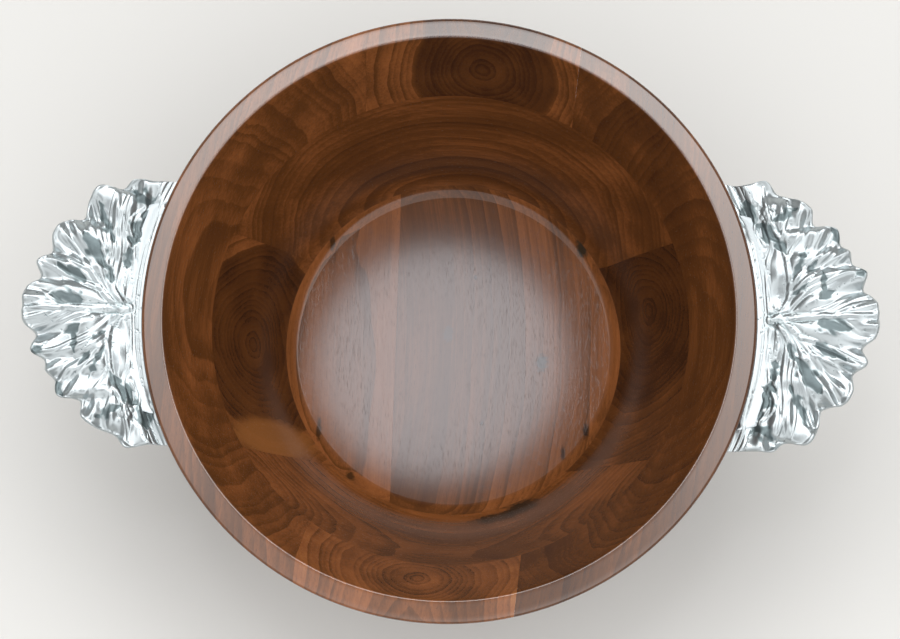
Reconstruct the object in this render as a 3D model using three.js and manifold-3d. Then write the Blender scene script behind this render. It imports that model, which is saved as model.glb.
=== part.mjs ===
// Turned wooden salad bowl with two cast leaf handles.
// The blank is cross-laminated: three courses of edge-glued boards, each course's grain square to the next.
// Millimetres, +Z up. The origin is the middle of the foot, on the surface that the bowl stands on.
// +X points to the right handle and +Y to the back of the bowl.
import * as THREE from 'three';
import { mergeVertices } from 'three/addons/utils/BufferGeometryUtils.js';
import Module from 'manifold-3d';

const wasm = await Module();
wasm.setup();

// Courses of the blank, from the foot up
const baseCourse = 19;
const wallCourse = 66;
const rimCourse = 39;

// Hollow of the bowl
const floorThickness = 14;
const floorDish = 0.6;
const floorRadius = 79;
const hollowRadiusAtBase = 90.5;
const hollowRadiusAtWall = 122.2;
const hollowRadiusAtRim = 141.5;

// Side, measured across at the top of the base course, at the top of the wall course and at the rim
const wallAtBase = 13.5;
const wallAtWall = 15.3;
const rimWidth = 10.9;
const rimFall = 2.6;
const rimEdgeRound = 3;

// Foot
const footRadius = 82;
const footHeight = 4;
const footWidth = 13;
const footRecess = 2.5;
const footChamfer = 1;
const footCove = 2.5;

// Boards, as the places of their glue joints across each course
const glueLine = 0.3;
const rimCourseTurn = 5.4;
const rimJointLeft = -58;
const rimJointRight = 50;
const wallJointSouth = -66;
const wallJointNorth = 46;
const baseJointLeft = -31.5;
const baseJointRight = 75;

// Leaf handles: a lobed blade on a curved flange, with a fillet at its root
const leafThickness = 3;
const leafEdgeThickness = 2.3;
const leafGap = 0.5;
const leafBackWing = 69.4;
const leafFrontWing = 64.6;
const collarDrop = 8;
const collarWingDrop = 1.2;
const collarWidth = 4.6;
const crownDrop = 1.4;
const wingDrop = 7;
const riseStart = 0.08;
const riseEnd = 0.55;
const flangeThickness = 3;
const flangeWidth = 104;
const flangeHeight = 25;
const flangeCorner = 9;
const flangeGap = 0.3;
const rootHeight = 9;
const rootReach = 7;

// Leaf edge from the back wing to the front wing: distance out from the rim along X, distance along Y and how
// far the edge curls up or down there. Lobes curl up and the notches between them dip.
const leafEdge = [
  [-4.3, 68.9, -0.5], [4.0, 71.4, 1.2], [10.7, 65.3, -1.5],
  [19.9, 61.9, 0.6], [26.7, 56.9, 1.8], [28.2, 49.2, -1.8],
  [38.9, 47.0, 2.2], [41.2, 39.3, -1.2], [45.3, 34.9, 1.4],
  [46.9, 29.4, -1.8], [53.2, 25.2, 2.0], [52.5, 16.3, -1.8],
  [57.9, 11.1, 0.8], [59.2, 3.0, 1.6], [57.9, -7.1, 0.8],
  [51.9, -12.7, -1.8], [53.4, -21.0, 2.0], [47.2, -25.8, -1.8],
  [46.1, -35.1, 1.8], [42.2, -40.9, 0.6], [31.9, -43.9, -2.0],
  [29.8, -52.8, 0.8], [24.6, -60.7, 1.8], [14.1, -60.1, -1.4],
  [8.1, -64.5, 1.0], [-0.4, -64.1, -0.5],
];

// Leaf relief: ribs stand up from the top, the cells between them swell, and valleys run in from the notches
const ribTaper = 0.5;
const cellSwell = 1.1;
const cellReach = 3.6;
const notchCurl = -1;
const notchDepth = 1;
const notchWidth = 1.7;
const notchLength = 15;
const reliefDrop = 0.7;
const veinOrigin = [6.4, 1.2];

// Ribs of the leaf: half width and height at the root, then the points that each runs through from there, as
// distance out from the rim along X and distance along Y
const leafRibs = [
  [1.27, 1.16, [[6.4, 1.2], [15.6, 2], [26.6, 2.6], [37.6, 2.8], [45.6, 3.2], [52.6, 3.4], [58.1, 3]]],
  [1.02, 0.95, [
    [8.6, 1.8], [12.9, 5.8], [15.2, 11.5], [15.8, 18], [14.9, 26], [13.6, 33], [11.1, 41], [6.6, 50],
    [3.6, 60], [3.1, 68],
  ]],
  [0.85, 0.82, [[15.6, 17], [19.6, 22.5], [25.1, 28.5], [30.6, 34], [35.1, 40], [37.6, 45.5]]],
  [0.85, 0.82, [[15.6, 12], [19.1, 16.5], [24.6, 22], [31.6, 27.5], [38.6, 32.5], [43.6, 34.5]]],
  [0.94, 0.88, [[14.4, 5.5], [20.1, 11.5], [26.6, 16.5], [34.1, 20], [41.6, 24], [51.6, 25.5]]],
  [0.77, 0.75, [[26.6, 4.5], [33.6, 7], [40.1, 10.5], [46.6, 14], [51.6, 16]]],
  [0.68, 0.68, [[37.6, 4], [44.1, 7.5], [50.6, 10], [56.6, 11]]],
  [0.85, 0.82, [[6.6, 4], [5.6, 12], [5.2, 21], [5.1, 30], [7.1, 38], [4.6, 47], [-0.4, 57]]],
  [0.68, 0.68, [[14.1, 31], [17.6, 38], [22.6, 46], [25.6, 54], [26.1, 58]]],
  [0.68, 0.68, [[11.1, 41], [13.6, 49], [15.6, 57], [14.6, 63]]],
  [1.02, 0.95, [[9.6, -1], [14.1, -6], [17.1, -13], [19.1, -22], [21.6, -31], [24.6, -42], [27.6, -52]]],
  [1.02, 0.95, [[13.6, -0.5], [19.1, -5.5], [23.6, -12.5], [28.6, -20], [34.6, -28], [40.6, -36]]],
  [0.85, 0.82, [[21.6, -8], [29.6, -10.5], [37.6, -14], [45.6, -18], [52.6, -21]]],
  [0.68, 0.68, [[37.6, 2.5], [43.6, -1.5], [49.6, -5.5], [56.6, -7]]],
  [0.68, 0.68, [[26.6, -16.5], [34.6, -20.5], [41.6, -24], [47.1, -26]]],
  [0.94, 0.88, [[11.1, -2], [14.6, -9.5], [13.6, -19], [12.6, -28], [13.1, -38], [12.1, -50], [8.6, -61]]],
  [0.77, 0.75, [[7.1, -3], [6.6, -11], [5.6, -20.5], [6.1, -29], [4.6, -38], [0.6, -48], [-4.4, -57]]],
  [0.68, 0.68, [[18.6, -20], [17.1, -29], [18.6, -38], [18.6, -48], [16.6, -58]]],
  [0.77, 0.68, [[7.1, 55], [5.1, 49], [6.1, 43], [9.6, 41]]],
  [0.77, 0.68, [[3.1, 56], [1.1, 49.5], [1.6, 43], [4.1, 38]]],
  [0.77, 0.68, [[6.4, -33], [8.4, -39], [6.6, -46], [2.6, -50]]],
  [0.77, 0.68, [[3.1, -36], [4.6, -40], [3.1, -44], [0.6, -46.5]]],
];

// Wood screws that hold each handle, driven square to the wall from outside
const screwSpacing = 66;
const screwDrop = 22;
const screwShank = 1.8;
const screwHead = 3.6;
const screwHeadHeight = 2.2;
const screwBite = 8;
const screwPoint = 2.5;
const screwClearance = 0.3;
const driveWidth = 0.9;
const driveLength = 4.2;
const driveDepth = 1.2;

// Mesh fineness
const turns = 96;
const leafColumns = 88;
const leafRows = 16;
const leafEasing = 0.15;
const screwSides = 16;

// How far a cutting block reaches past what it cuts
const overcut = 1;

// Heights and radii that follow from the sizes above
const wallTop = baseCourse + wallCourse;
const rimTop = wallTop + rimCourse;
const rimRadius = hollowRadiusAtRim + rimWidth;
const outerRadiusAtBase = hollowRadiusAtBase + wallAtBase;
const outerRadiusAtWall = hollowRadiusAtWall + wallAtWall;
const rimEdgeTop = rimTop - rimFall;
const rimEdgeBottom = rimEdgeTop - rimEdgeRound;
const flangeTop = rimTop - collarDrop;
const flangeBottom = flangeTop - flangeHeight;
const screwHeight = rimTop - screwDrop;
const flangeFace = flangeGap + flangeThickness;

const walnut = (color) => new THREE.MeshStandardMaterial({ color, roughness: 0.38, metalness: 0 });
const castMetal = new THREE.MeshStandardMaterial({ color: 0xc4ccd0, roughness: 0.22, metalness: 1 });
const screwSteel = new THREE.MeshStandardMaterial({ color: 0x9a9da0, roughness: 0.35, metalness: 1 });

const { clamp, degToRad, lerp, radToDeg, smoothstep } = THREE.MathUtils;

// A closed geometry made into a solid that can be cut and joined
function solidOf(geometry) {
  const plain = geometry.clone();
  plain.deleteAttribute('normal');
  plain.deleteAttribute('uv');
  const merged = mergeVertices(plain, 1e-4);
  const vertProperties = new Float32Array(merged.attributes.position.array);
  const triVerts = new Uint32Array(merged.index.array);
  return new wasm.Manifold(new wasm.Mesh({ numProp: 3, vertProperties, triVerts }));
}

// A solid made into a named mesh
function pieceOf(name, solid, material) {
  const { vertProperties, triVerts } = solid.getMesh();
  const geometry = new THREE.BufferGeometry();
  geometry.setAttribute('position', new THREE.BufferAttribute(vertProperties, 3));
  geometry.setIndex(new THREE.BufferAttribute(triVerts, 1));
  geometry.computeVertexNormals();
  const mesh = new THREE.Mesh(geometry, material);
  mesh.name = name;
  return mesh;
}

// A ring turned about +Z from a closed profile of [radius, height] points, run anticlockwise
function turned(profile) {
  const points = [...profile, profile[0]].map(([r, z]) => new THREE.Vector2(r, z));
  return new THREE.LatheGeometry(points, turns).rotateX(Math.PI / 2);
}

// A box between two corners, turned about +Z by an angle in degrees
function block(low, high, turn = 0) {
  const size = new THREE.Vector3().subVectors(high, low);
  const middle = new THREE.Vector3().addVectors(low, high).multiplyScalar(0.5);
  const box = new THREE.BoxGeometry(size.x, size.y, size.z);
  return solidOf(box.translate(middle.x, middle.y, middle.z).rotateZ(degToRad(turn)));
}

// Outside radius of the side at a height: one smooth curve through its radii at the base, wall top and rim
function outsideRadius(z) {
  const through = [[baseCourse, outerRadiusAtBase], [wallTop, outerRadiusAtWall], [rimEdgeBottom, rimRadius]];
  return through.reduce((sum, [height, radius], i) => {
    const [a, b] = through.filter((_, j) => j !== i).map(([other]) => (z - other) / (height - other));
    return sum + radius * a * b;
  }, 0);
}

// [radius, height] points up or down the side, set out from it by a distance
function alongSide(from, to, out, steps) {
  return Array.from({ length: steps + 1 }, (_, i) => {
    const z = lerp(from, to, i / steps);
    return [outsideRadius(z) + out, z];
  });
}

// Quarter-round points between two [radius, height] points, about the corner given
function rounded(from, corner, to, steps) {
  return Array.from({ length: steps + 1 }, (_, i) => {
    const t = i / steps;
    const a = (1 - t) ** 2;
    const b = 2 * t * (1 - t);
    const c = t ** 2;
    return [a * from[0] + b * corner[0] + c * to[0], a * from[1] + b * corner[1] + c * to[1]];
  });
}

// Rim course: curved outside, rounded outer edge, top falling outwards, straight inside
function rimProfile() {
  const roundStart = [rimRadius - rimEdgeRound, rimEdgeTop + (rimFall * rimEdgeRound) / rimWidth];
  const outside = alongSide(wallTop, rimEdgeBottom, 0, 2);
  const edge = rounded([rimRadius, rimEdgeBottom], [rimRadius, rimEdgeTop], roundStart, 3);
  return [[hollowRadiusAtWall, wallTop], ...outside, ...edge.slice(1), [hollowRadiusAtRim, rimTop]];
}

// Wall course: the side between the base and the rim course, straight inside
function wallProfile() {
  return [
    ...alongSide(baseCourse, wallTop, 0, 3),
    [hollowRadiusAtWall, wallTop],
    [hollowRadiusAtBase, baseCourse],
  ];
}

// Base course: foot with a recess, outside curving up to the wall, dished floor with a cove
function baseProfile() {
  const recessRadius = footRadius - footWidth;
  const floorEdge = [floorRadius, floorThickness + floorDish];
  const coveCorner = [hollowRadiusAtBase - footCove, floorThickness + floorDish];
  const bodyFoot = [footRadius + footCove, footHeight + footChamfer];
  const bodyCorner = [outerRadiusAtBase - wallAtBase / 2, footHeight + footCove];
  return [
    [0, footRecess],
    [recessRadius, footRecess],
    [recessRadius + footChamfer, 0],
    [footRadius, 0],
    [footRadius, footHeight],
    ...rounded(bodyFoot, bodyCorner, [outerRadiusAtBase, baseCourse], 3),
    ...rounded([hollowRadiusAtBase, baseCourse], coveCorner, floorEdge, 3),
    [0, floorThickness],
  ];
}

// Boards of one course: cuts the turned ring at its glue joints, which run along +Y turned by an angle
function boardsOf(course, bottom, top, joints, turn) {
  const reach = 2 * rimRadius;
  const edges = [-reach, ...joints, reach];
  return edges.slice(1).map((edge, i) => {
    const low = new THREE.Vector3(edges[i] + glueLine / 2, -reach, bottom - overcut);
    const high = new THREE.Vector3(edge - glueLine / 2, reach, top + overcut);
    return course.intersect(block(low, high, turn));
  });
}

// The part of a board on one side of the hollow, ahead of or behind a plane through the axis
function halfOf(board, side, turn) {
  const reach = 2 * rimRadius;
  const low = new THREE.Vector3(-reach, side > 0 ? 0 : -reach, -overcut);
  const high = new THREE.Vector3(reach, side > 0 ? reach : 0, rimTop + overcut);
  return board.intersect(block(low, high, turn));
}

// Middle height of the leaf: s runs from the bowl to the leaf's edge, t from the front wing to the back wing
function leafHeight(s, t, curl) {
  const collar = collarDrop + collarWingDrop * t * t;
  const crown = crownDrop + wingDrop * t * t;
  return rimTop - lerp(collar, crown, smoothstep(s, riseStart, riseEnd)) + curl * s ** 1.5;
}

// Points given as distance out from the rim and distance along Y, in the bowl's own frame
function fromRim(points) {
  return points.map(([out, y]) => new THREE.Vector2(rimRadius + out, y));
}

// Distance from a point to a line, and how far along the line the nearest place lies, from 0 to 1
function nearestOn(line, point) {
  const places = line.slice(1).map((end, i) => {
    const span = end.clone().sub(line[i]);
    const t = clamp(point.clone().sub(line[i]).dot(span) / span.lengthSq(), 0, 1);
    const away = point.distanceTo(span.multiplyScalar(t).add(line[i]));
    return { away, along: (i + t) / (line.length - 1) };
  });
  return places.reduce((best, place) => (place.away < best.away ? place : best));
}

const ribs = leafRibs.map(([width, height, points]) => ({ width, height, line: fromRim(points) }));
const notches = leafEdge.filter(([, , curl]) => curl < notchCurl).map((point) => {
  const [tip, origin] = fromRim([point, veinOrigin]);
  return [tip, origin.sub(tip).setLength(notchLength).add(tip)];
});

// Relief of the leaf at a point: the swell of both its sides, and the rib that stands on its top alone
function leafRelief(point) {
  const cell = smoothstep(point.length() - rimRadius, collarWidth - 1, collarWidth + 1);
  let nearest = Infinity;
  let rib = 0;
  for (const { width, height, line } of ribs) {
    const { away, along } = nearestOn(line, point);
    const taper = 1 - ribTaper * along;
    rib = Math.max(rib, height * taper * Math.exp(-((away / (width * taper)) ** 2)));
    nearest = Math.min(nearest, away);
  }
  let valley = 0;
  for (const line of notches) {
    const { away, along } = nearestOn(line, point);
    valley = Math.max(valley, notchDepth * (1 - along) * Math.exp(-((away / notchWidth) ** 2)));
  }
  const swell = cell * cellSwell * (1 - Math.exp(-((nearest / cellReach) ** 2)));
  return { rib, swell: swell - valley - reliefDrop };
}

// Leaf blade of the right handle: a plate lofted from an arc beside the rim to the lobed edge
function leafBlade() {
  const inner = rimRadius + leafGap;
  const backSweep = Math.asin(leafBackWing / inner);
  const frontSweep = -Math.asin(leafFrontWing / inner);
  const edge = new THREE.CatmullRomCurve3(
    leafEdge.map(([out, y, curl]) => new THREE.Vector3(rimRadius + out, y, curl)), false, 'centripetal');
  const edgePoints = edge.getSpacedPoints(leafColumns);
  const positions = [];
  const index = [];
  const columns = leafColumns + 1;
  const layer = columns * (leafRows + 1);
  for (const side of [1, -1]) {
    for (let row = 0; row <= leafRows; row += 1) {
      const s = row / leafRows;
      const half = lerp(leafThickness, leafEdgeThickness, s) / 2;
      for (let column = 0; column < columns; column += 1) {
        const t = 1 - (2 * column) / leafColumns;
        const sweep = lerp(frontSweep, backSweep, (t + 1) / 2);
        const tip = edgePoints[column];
        const x = lerp(inner * Math.cos(sweep), tip.x, s);
        const y = lerp(inner * Math.sin(sweep), tip.y, s);
        const { rib, swell } = leafRelief(new THREE.Vector2(x, y));
        positions.push(x, y, leafHeight(s, t, tip.z) + swell + side * half + (side > 0 ? rib : 0));
      }
    }
  }
  const quad = (a, b, c, d) => index.push(a, c, b, a, d, c);
  for (let row = 0; row < leafRows; row += 1) {
    for (let column = 0; column < leafColumns; column += 1) {
      const a = row * columns + column;
      quad(a, a + columns, a + columns + 1, a + 1);
      quad(layer + a + 1, layer + a + columns + 1, layer + a + columns, layer + a);
    }
  }
  for (let column = 0; column < leafColumns; column += 1) {
    const a = column;
    const b = leafRows * columns + column;
    quad(a + 1, layer + a + 1, layer + a, a);
    quad(b, layer + b, layer + b + 1, b + 1);
  }
  for (let row = 0; row < leafRows; row += 1) {
    const a = row * columns;
    const b = a + leafColumns;
    quad(a, layer + a, layer + a + columns, a + columns);
    quad(b + columns, layer + b + columns, layer + b, b);
  }
  const geometry = new THREE.BufferGeometry();
  geometry.setAttribute('position', new THREE.Float32BufferAttribute(positions, 3));
  geometry.setIndex(index);
  return solidOf(geometry).simplify(leafEasing);
}

// Outline of the flange seen from the end of the handle, with rounded lower corners
function flangeOutline() {
  const half = flangeWidth / 2;
  const top = flangeTop + overcut;
  const low = flangeBottom + flangeCorner;
  const outline = new THREE.Shape();
  outline.moveTo(half, top);
  outline.lineTo(-half, top);
  outline.lineTo(-half, low);
  outline.absarc(-half + flangeCorner, low, flangeCorner, Math.PI, 1.5 * Math.PI);
  outline.lineTo(half - flangeCorner, flangeBottom);
  outline.absarc(half - flangeCorner, low, flangeCorner, 1.5 * Math.PI, 2 * Math.PI);
  return outline;
}

// Curved flange of the right handle, which follows the wall under the rim and swells to the blade's root
function flange() {
  const start = flangeBottom - overcut;
  const rootStart = flangeTop - rootHeight;
  const rootFoot = [outsideRadius(rootStart) + flangeFace, rootStart];
  const corner = [outsideRadius(flangeTop) + flangeFace, flangeTop];
  const root = rounded(rootFoot, corner, [rimRadius + rootReach, flangeTop], 4);
  const face = alongSide(start, rootStart, flangeFace, 2);
  const ring = solidOf(turned([...face, ...root.slice(1), ...alongSide(flangeTop, start, flangeGap, 2)]));
  const cutter = new THREE.ExtrudeGeometry(flangeOutline(), {
    depth: 2 * rimRadius,
    bevelEnabled: false,
    curveSegments: 6,
  });
  return ring.intersect(solidOf(cutter.rotateX(Math.PI / 2).rotateZ(Math.PI / 2)));
}

// Places a geometry made along +Z, with its head outwards, square to the wall at a sweep angle
function squareToWall(geometry, sweep) {
  const rise = flangeHeight / 2;
  const slope = (outsideRadius(screwHeight + rise) - outsideRadius(screwHeight - rise)) / flangeHeight;
  return geometry
    .rotateY(Math.PI / 2 + Math.atan(slope))
    .translate(outsideRadius(screwHeight) + flangeFace, 0, screwHeight)
    .rotateZ(degToRad(sweep));
}

// A round pin along Z between two heights
function pin(radius, from, to) {
  return new THREE.CylinderGeometry(radius, radius, to - from, screwSides)
    .rotateX(Math.PI / 2)
    .translate(0, 0, (from + to) / 2);
}

// Round-headed wood screw with a crossed drive, its head seated at height 0 and its point below
function screw(sweep) {
  const end = flangeFace + screwBite;
  const profile = [
    [0, -end], [screwShank, -end + screwPoint], [screwShank, 0],
    ...rounded([screwHead, 0], [screwHead, screwHeadHeight], [0, screwHeadHeight], 4),
  ].map(([r, z]) => new THREE.Vector2(r, z));
  const shape = new THREE.LatheGeometry(profile, screwSides).rotateX(Math.PI / 2);
  const body = solidOf(squareToWall(shape, sweep));
  const slot = (width, length) => solidOf(squareToWall(
    new THREE.BoxGeometry(width, length, driveDepth * 2).translate(0, 0, screwHeadHeight), sweep));
  return body.subtract(slot(driveWidth, driveLength)).subtract(slot(driveLength, driveWidth));
}

// The hole that a screw passes or bites into
function screwHole(sweep) {
  const depth = flangeFace + screwBite + screwClearance;
  return solidOf(squareToWall(pin(screwShank + screwClearance, -depth, screwHeadHeight), sweep));
}

const bowl = new THREE.Group();
bowl.name = 'wooden_salad_bowl';

// Each handle's turn about +Z, and its screws from the front of the bowl to the back
const handles = { right: 0, left: 180 };
const screwSweep = radToDeg(Math.asin(screwSpacing / 2 / rimRadius));
const screwSweeps = { front: -screwSweep, back: screwSweep };

const rimHoles = Object.values(handles)
  .flatMap((turn) => Object.values(screwSweeps).map((sweep) => screwHole(turn + sweep)));
const rim = rimHoles.reduce((solid, hole) => solid.subtract(hole), solidOf(turned(rimProfile())));
const rimBoards = boardsOf(rim, wallTop, rimTop, [rimJointLeft, rimJointRight], -rimCourseTurn);
bowl.add(
  pieceOf('rim_board_left', rimBoards[0], walnut(0x7a4a28)),
  pieceOf('rim_board_north', halfOf(rimBoards[1], 1, -rimCourseTurn), walnut(0x6b3f22)),
  pieceOf('rim_board_south', halfOf(rimBoards[1], -1, -rimCourseTurn), walnut(0x6b3f22)),
  pieceOf('rim_board_right', rimBoards[2], walnut(0x74462a)),
);

const wallRing = solidOf(turned(wallProfile()));
const wallBoards = boardsOf(wallRing, baseCourse, wallTop, [wallJointSouth, wallJointNorth], 90);
bowl.add(
  pieceOf('wall_board_south', wallBoards[0], walnut(0x7c4b2c)),
  pieceOf('wall_board_west', halfOf(wallBoards[1], 1, 90), walnut(0x5f3820)),
  pieceOf('wall_board_east', halfOf(wallBoards[1], -1, 90), walnut(0x5f3820)),
  pieceOf('wall_board_north', wallBoards[2], walnut(0x6e4226)),
);

const base = solidOf(turned(baseProfile()));
const baseBoards = boardsOf(base, 0, baseCourse, [baseJointLeft, baseJointRight], 0);
['left', 'middle', 'right'].forEach((side, i) => {
  bowl.add(pieceOf(`base_board_${side}`, baseBoards[i], walnut([0x82502c, 0x6a3e24, 0x7a4a2a][i])));
});

const handleCasting = Object.values(screwSweeps)
  .map((sweep) => screwHole(sweep))
  .reduce((solid, hole) => solid.subtract(hole), leafBlade().add(flange()));
for (const [side, turn] of Object.entries(handles)) {
  const handle = pieceOf(`leaf_handle_${side}`, handleCasting, castMetal);
  handle.rotation.z = degToRad(turn);
  bowl.add(handle);
  for (const [place, sweep] of Object.entries(screwSweeps)) {
    const seat = turn === 0 ? sweep : turn - sweep;
    bowl.add(pieceOf(`handle_screw_${side}_${place}`, screw(seat), screwSteel));
  }
}

export default bowl;
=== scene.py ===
# Turned walnut salad bowl with a cast leaf handle at each side: its looks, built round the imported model.
import math

import bmesh
import bpy
import numpy as np
from mathutils import Matrix, Vector


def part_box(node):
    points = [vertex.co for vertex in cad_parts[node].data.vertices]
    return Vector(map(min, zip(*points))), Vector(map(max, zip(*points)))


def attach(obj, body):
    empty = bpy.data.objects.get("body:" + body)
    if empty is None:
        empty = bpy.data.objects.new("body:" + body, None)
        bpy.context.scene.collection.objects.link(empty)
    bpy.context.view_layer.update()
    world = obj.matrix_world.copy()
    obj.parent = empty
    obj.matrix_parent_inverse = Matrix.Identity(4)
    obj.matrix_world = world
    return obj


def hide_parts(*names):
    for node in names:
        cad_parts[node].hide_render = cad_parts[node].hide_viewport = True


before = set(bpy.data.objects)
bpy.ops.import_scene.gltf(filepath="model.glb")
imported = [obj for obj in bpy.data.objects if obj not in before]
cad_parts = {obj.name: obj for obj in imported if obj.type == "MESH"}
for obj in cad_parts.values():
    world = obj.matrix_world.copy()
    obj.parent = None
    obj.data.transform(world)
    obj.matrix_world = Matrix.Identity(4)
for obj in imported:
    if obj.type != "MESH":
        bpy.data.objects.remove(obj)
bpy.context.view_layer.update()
scene = bpy.context.scene
millimetre = 0.001
mergeDistance = 1e-6  # metres
cutDistance = 1e-7
print("frame loaded:", len(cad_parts), "nodes")


# Camera: straight down on the bowl, tipped a little to the front and the right, as the photograph was taken
cameraFacts = {
    "photoWidth": 900,
    "photoHeight": 639,
    "rimCentrePixel": (447.9, 311.2),  # where the middle of the rim lies in the photograph
    "focalPixels": 2009.5,
    "sensor": 36.0,  # millimetres
    "distance": 0.9906,  # metres from the middle of the rim
    "tiltToFront": 10.87,  # degrees from straight down
    "tiltToRight": 1.53,
    "roll": 1.8,
}

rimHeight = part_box("rim_board_right")[1].z


# Looks down along back = up + right tan(tiltToRight) - ahead tan(tiltToFront), from the distance along it,
# and shifts the view so that the middle of the rim falls on its pixel
def makeCamera(facts):
    width = facts["photoWidth"]
    roll = math.radians(facts["roll"])
    right = Vector((math.cos(roll), math.sin(roll), 0))
    ahead = Vector((-math.sin(roll), math.cos(roll), 0))
    back = Vector((0, 0, 1))
    back += right * math.tan(math.radians(facts["tiltToRight"]))
    back -= ahead * math.tan(math.radians(facts["tiltToFront"]))
    back.normalize()
    side = (-back).cross(ahead).normalized()
    up = side.cross(-back)
    data = bpy.data.cameras.new("photo_camera")
    data.sensor_width = facts["sensor"]
    data.lens = facts["focalPixels"] * facts["sensor"] / width
    data.shift_x = (width / 2 - facts["rimCentrePixel"][0]) / width
    data.shift_y = (facts["rimCentrePixel"][1] - facts["photoHeight"] / 2) / width
    camera = bpy.data.objects.new("photo_camera", data)
    turn = Matrix((side, up, back)).transposed().to_4x4()
    place = Vector((0, 0, rimHeight)) + back * facts["distance"]
    camera.matrix_world = Matrix.Translation(place) @ turn
    scene.collection.objects.link(camera)
    scene.camera = camera


makeCamera(cameraFacts)
print("camera set")


# An sRGB hex value such as "#6b4528" as linear red, green, blue and alpha
def colour(text):
    parts = [int(text[i:i + 2], 16) / 255 for i in (1, 3, 5)]
    return [p / 12.92 if p <= 0.04045 else ((p + 0.055) / 1.055) ** 2.4 for p in parts] + [1.0]


# Adds a shader node. Inputs are values, sockets, or nodes, which give their first output in use.
def addNode(tree, kind, inputs=None, stops=None, **settings):
    node = tree.nodes.new("ShaderNode" + kind)
    for key, value in settings.items():
        setattr(node, key, value)
    for key, value in (inputs or {}).items():
        if isinstance(value, bpy.types.Node):
            value = next(output for output in value.outputs if output.enabled)
        if isinstance(value, bpy.types.NodeSocket):
            tree.links.new(value, node.inputs[key])
        else:
            node.inputs[key].default_value = value
    for i, (place, shade) in enumerate(stops or []):
        elements = node.color_ramp.elements
        element = elements[i] if i < 2 else elements.new(place)
        element.position = place
        element.color = colour(shade)
    return node


# A new material with an empty node tree and its output node
def newMaterial(name):
    material = bpy.data.materials.new(name)
    material.use_nodes = True
    tree = material.node_tree
    tree.nodes.clear()
    output = addNode(tree, "OutputMaterial")
    return material, tree, output


# A mesh piece from points in millimetres and faces
def makePiece(name, points, faces, material, sharp=35):
    mesh = bpy.data.meshes.new(name)
    mesh.from_pydata((np.asarray(points) * millimetre).tolist(), [], np.asarray(faces).tolist())
    piece = bpy.data.objects.new(name, mesh)
    scene.collection.objects.link(piece)
    finishMesh(piece, material, sharp)
    return piece


# Smooth shading, but for edges where the faces turn by more than an angle in degrees
def finishMesh(piece, material, sharp=16):
    piece.data.materials.append(material)
    piece.data.shade_smooth()
    piece.data.set_sharp_from_angle(angle=math.radians(sharp))


# Points of a curve with one straight control corner: (1-t)^2 a + 2t(1-t) corner + t^2 b
def cornerCurve(a, corner, b, steps):
    t = np.linspace(0, 1, steps + 1)[:, None]
    return (1 - t) ** 2 * np.array(a) + 2 * t * (1 - t) * np.array(corner) + t ** 2 * np.array(b)


# The parabola through three (height, radius) points, at the heights given: each radius times the height's
# distances to the other two points, over that point's own distances to them
def through(points, height):
    total = 0
    for i, (z, r) in enumerate(points):
        others = [other[0] for j, other in enumerate(points) if j != i]
        total = total + r * (height - others[0]) / (z - others[0]) * (height - others[1]) / (z - others[1])
    return total


# Bowl: three courses turned together, in millimetres. Heights and the rim's radius come from the frame.
bowl = {
    "baseTop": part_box("base_board_middle")[1].z / millimetre,
    "wallTop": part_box("wall_board_north")[1].z / millimetre,
    "rimTop": rimHeight / millimetre,
    "rimRadius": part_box("rim_board_right")[1].x / millimetre,
    "hollowAtBase": 90.5,  # inner radius where two courses meet
    "hollowAtWall": 122.2,
    "rimWidth": 10.9,
    "wallAtBase": 13.5,  # the wall's thickness there
    "wallAtWall": 15.3,
    "rimFall": 2.6,  # how far the rim's top falls to its outer edge
    "rimCrown": (6.5, 1.05),  # the corner that its curve leans to: in from the outer edge, and down
    "rimEdgeRound": 2.0,
    "innerEdgeRound": 0.9,
    "topNormal": 0.75,  # faces count as the rim's top where their normal rises more than this
    "floor": 14.0,
    "floorDish": 0.6,
    "floorRadius": 85.0,
    "coveStart": 28.0,  # degrees up from the floor, where the wall begins
    "coveTop": 25.5,
    "coveSwell": 1.7,  # how far the wall's foot is hollowed out beyond the straight side
    "coveSwellTop": 60.0,
    "footRadius": 82.0,
    "footWidth": 13.0,
    "footHeight": 4.0,
    "footRecess": 2.5,
    "footChamfer": 1.0,
    "footEdge": 0.6,
    "footCove": 2.5,
    "segments": 480,
    "floorSteps": 13,
    "coveSteps": 24,
    "insideSteps": 34,
    "outsideSteps": 24,
    "rimSteps": (16, 10, 6, 6, 20),  # outside, outer edge, top, inner edge and inside
    "footSteps": 14,
    "sameHeight": 1e-6,
    "glueLine": 0.03,
    "rimCourseTurn": -5.4,  # degrees
}
bowl["hollowAtRim"] = bowl["rimRadius"] - bowl["rimWidth"]
bowl["edgeBottom"] = bowl["rimTop"] - bowl["rimFall"] - bowl["rimEdgeRound"]
outsideLine = [
    (bowl["baseTop"], bowl["hollowAtBase"] + bowl["wallAtBase"]),
    (bowl["wallTop"], bowl["hollowAtWall"] + bowl["wallAtWall"]),
    (bowl["edgeBottom"], bowl["rimRadius"]),
]
insideLine = [
    (bowl["baseTop"], bowl["hollowAtBase"]),
    (bowl["wallTop"], bowl["hollowAtWall"]),
    (bowl["rimTop"], bowl["hollowAtRim"]),
]


# [radius, height] points up or down a line of the side
def alongSide(line, low, high, steps):
    z = np.linspace(low, high, steps + 1)
    return np.stack([through(line, z), z], axis=1)


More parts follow.
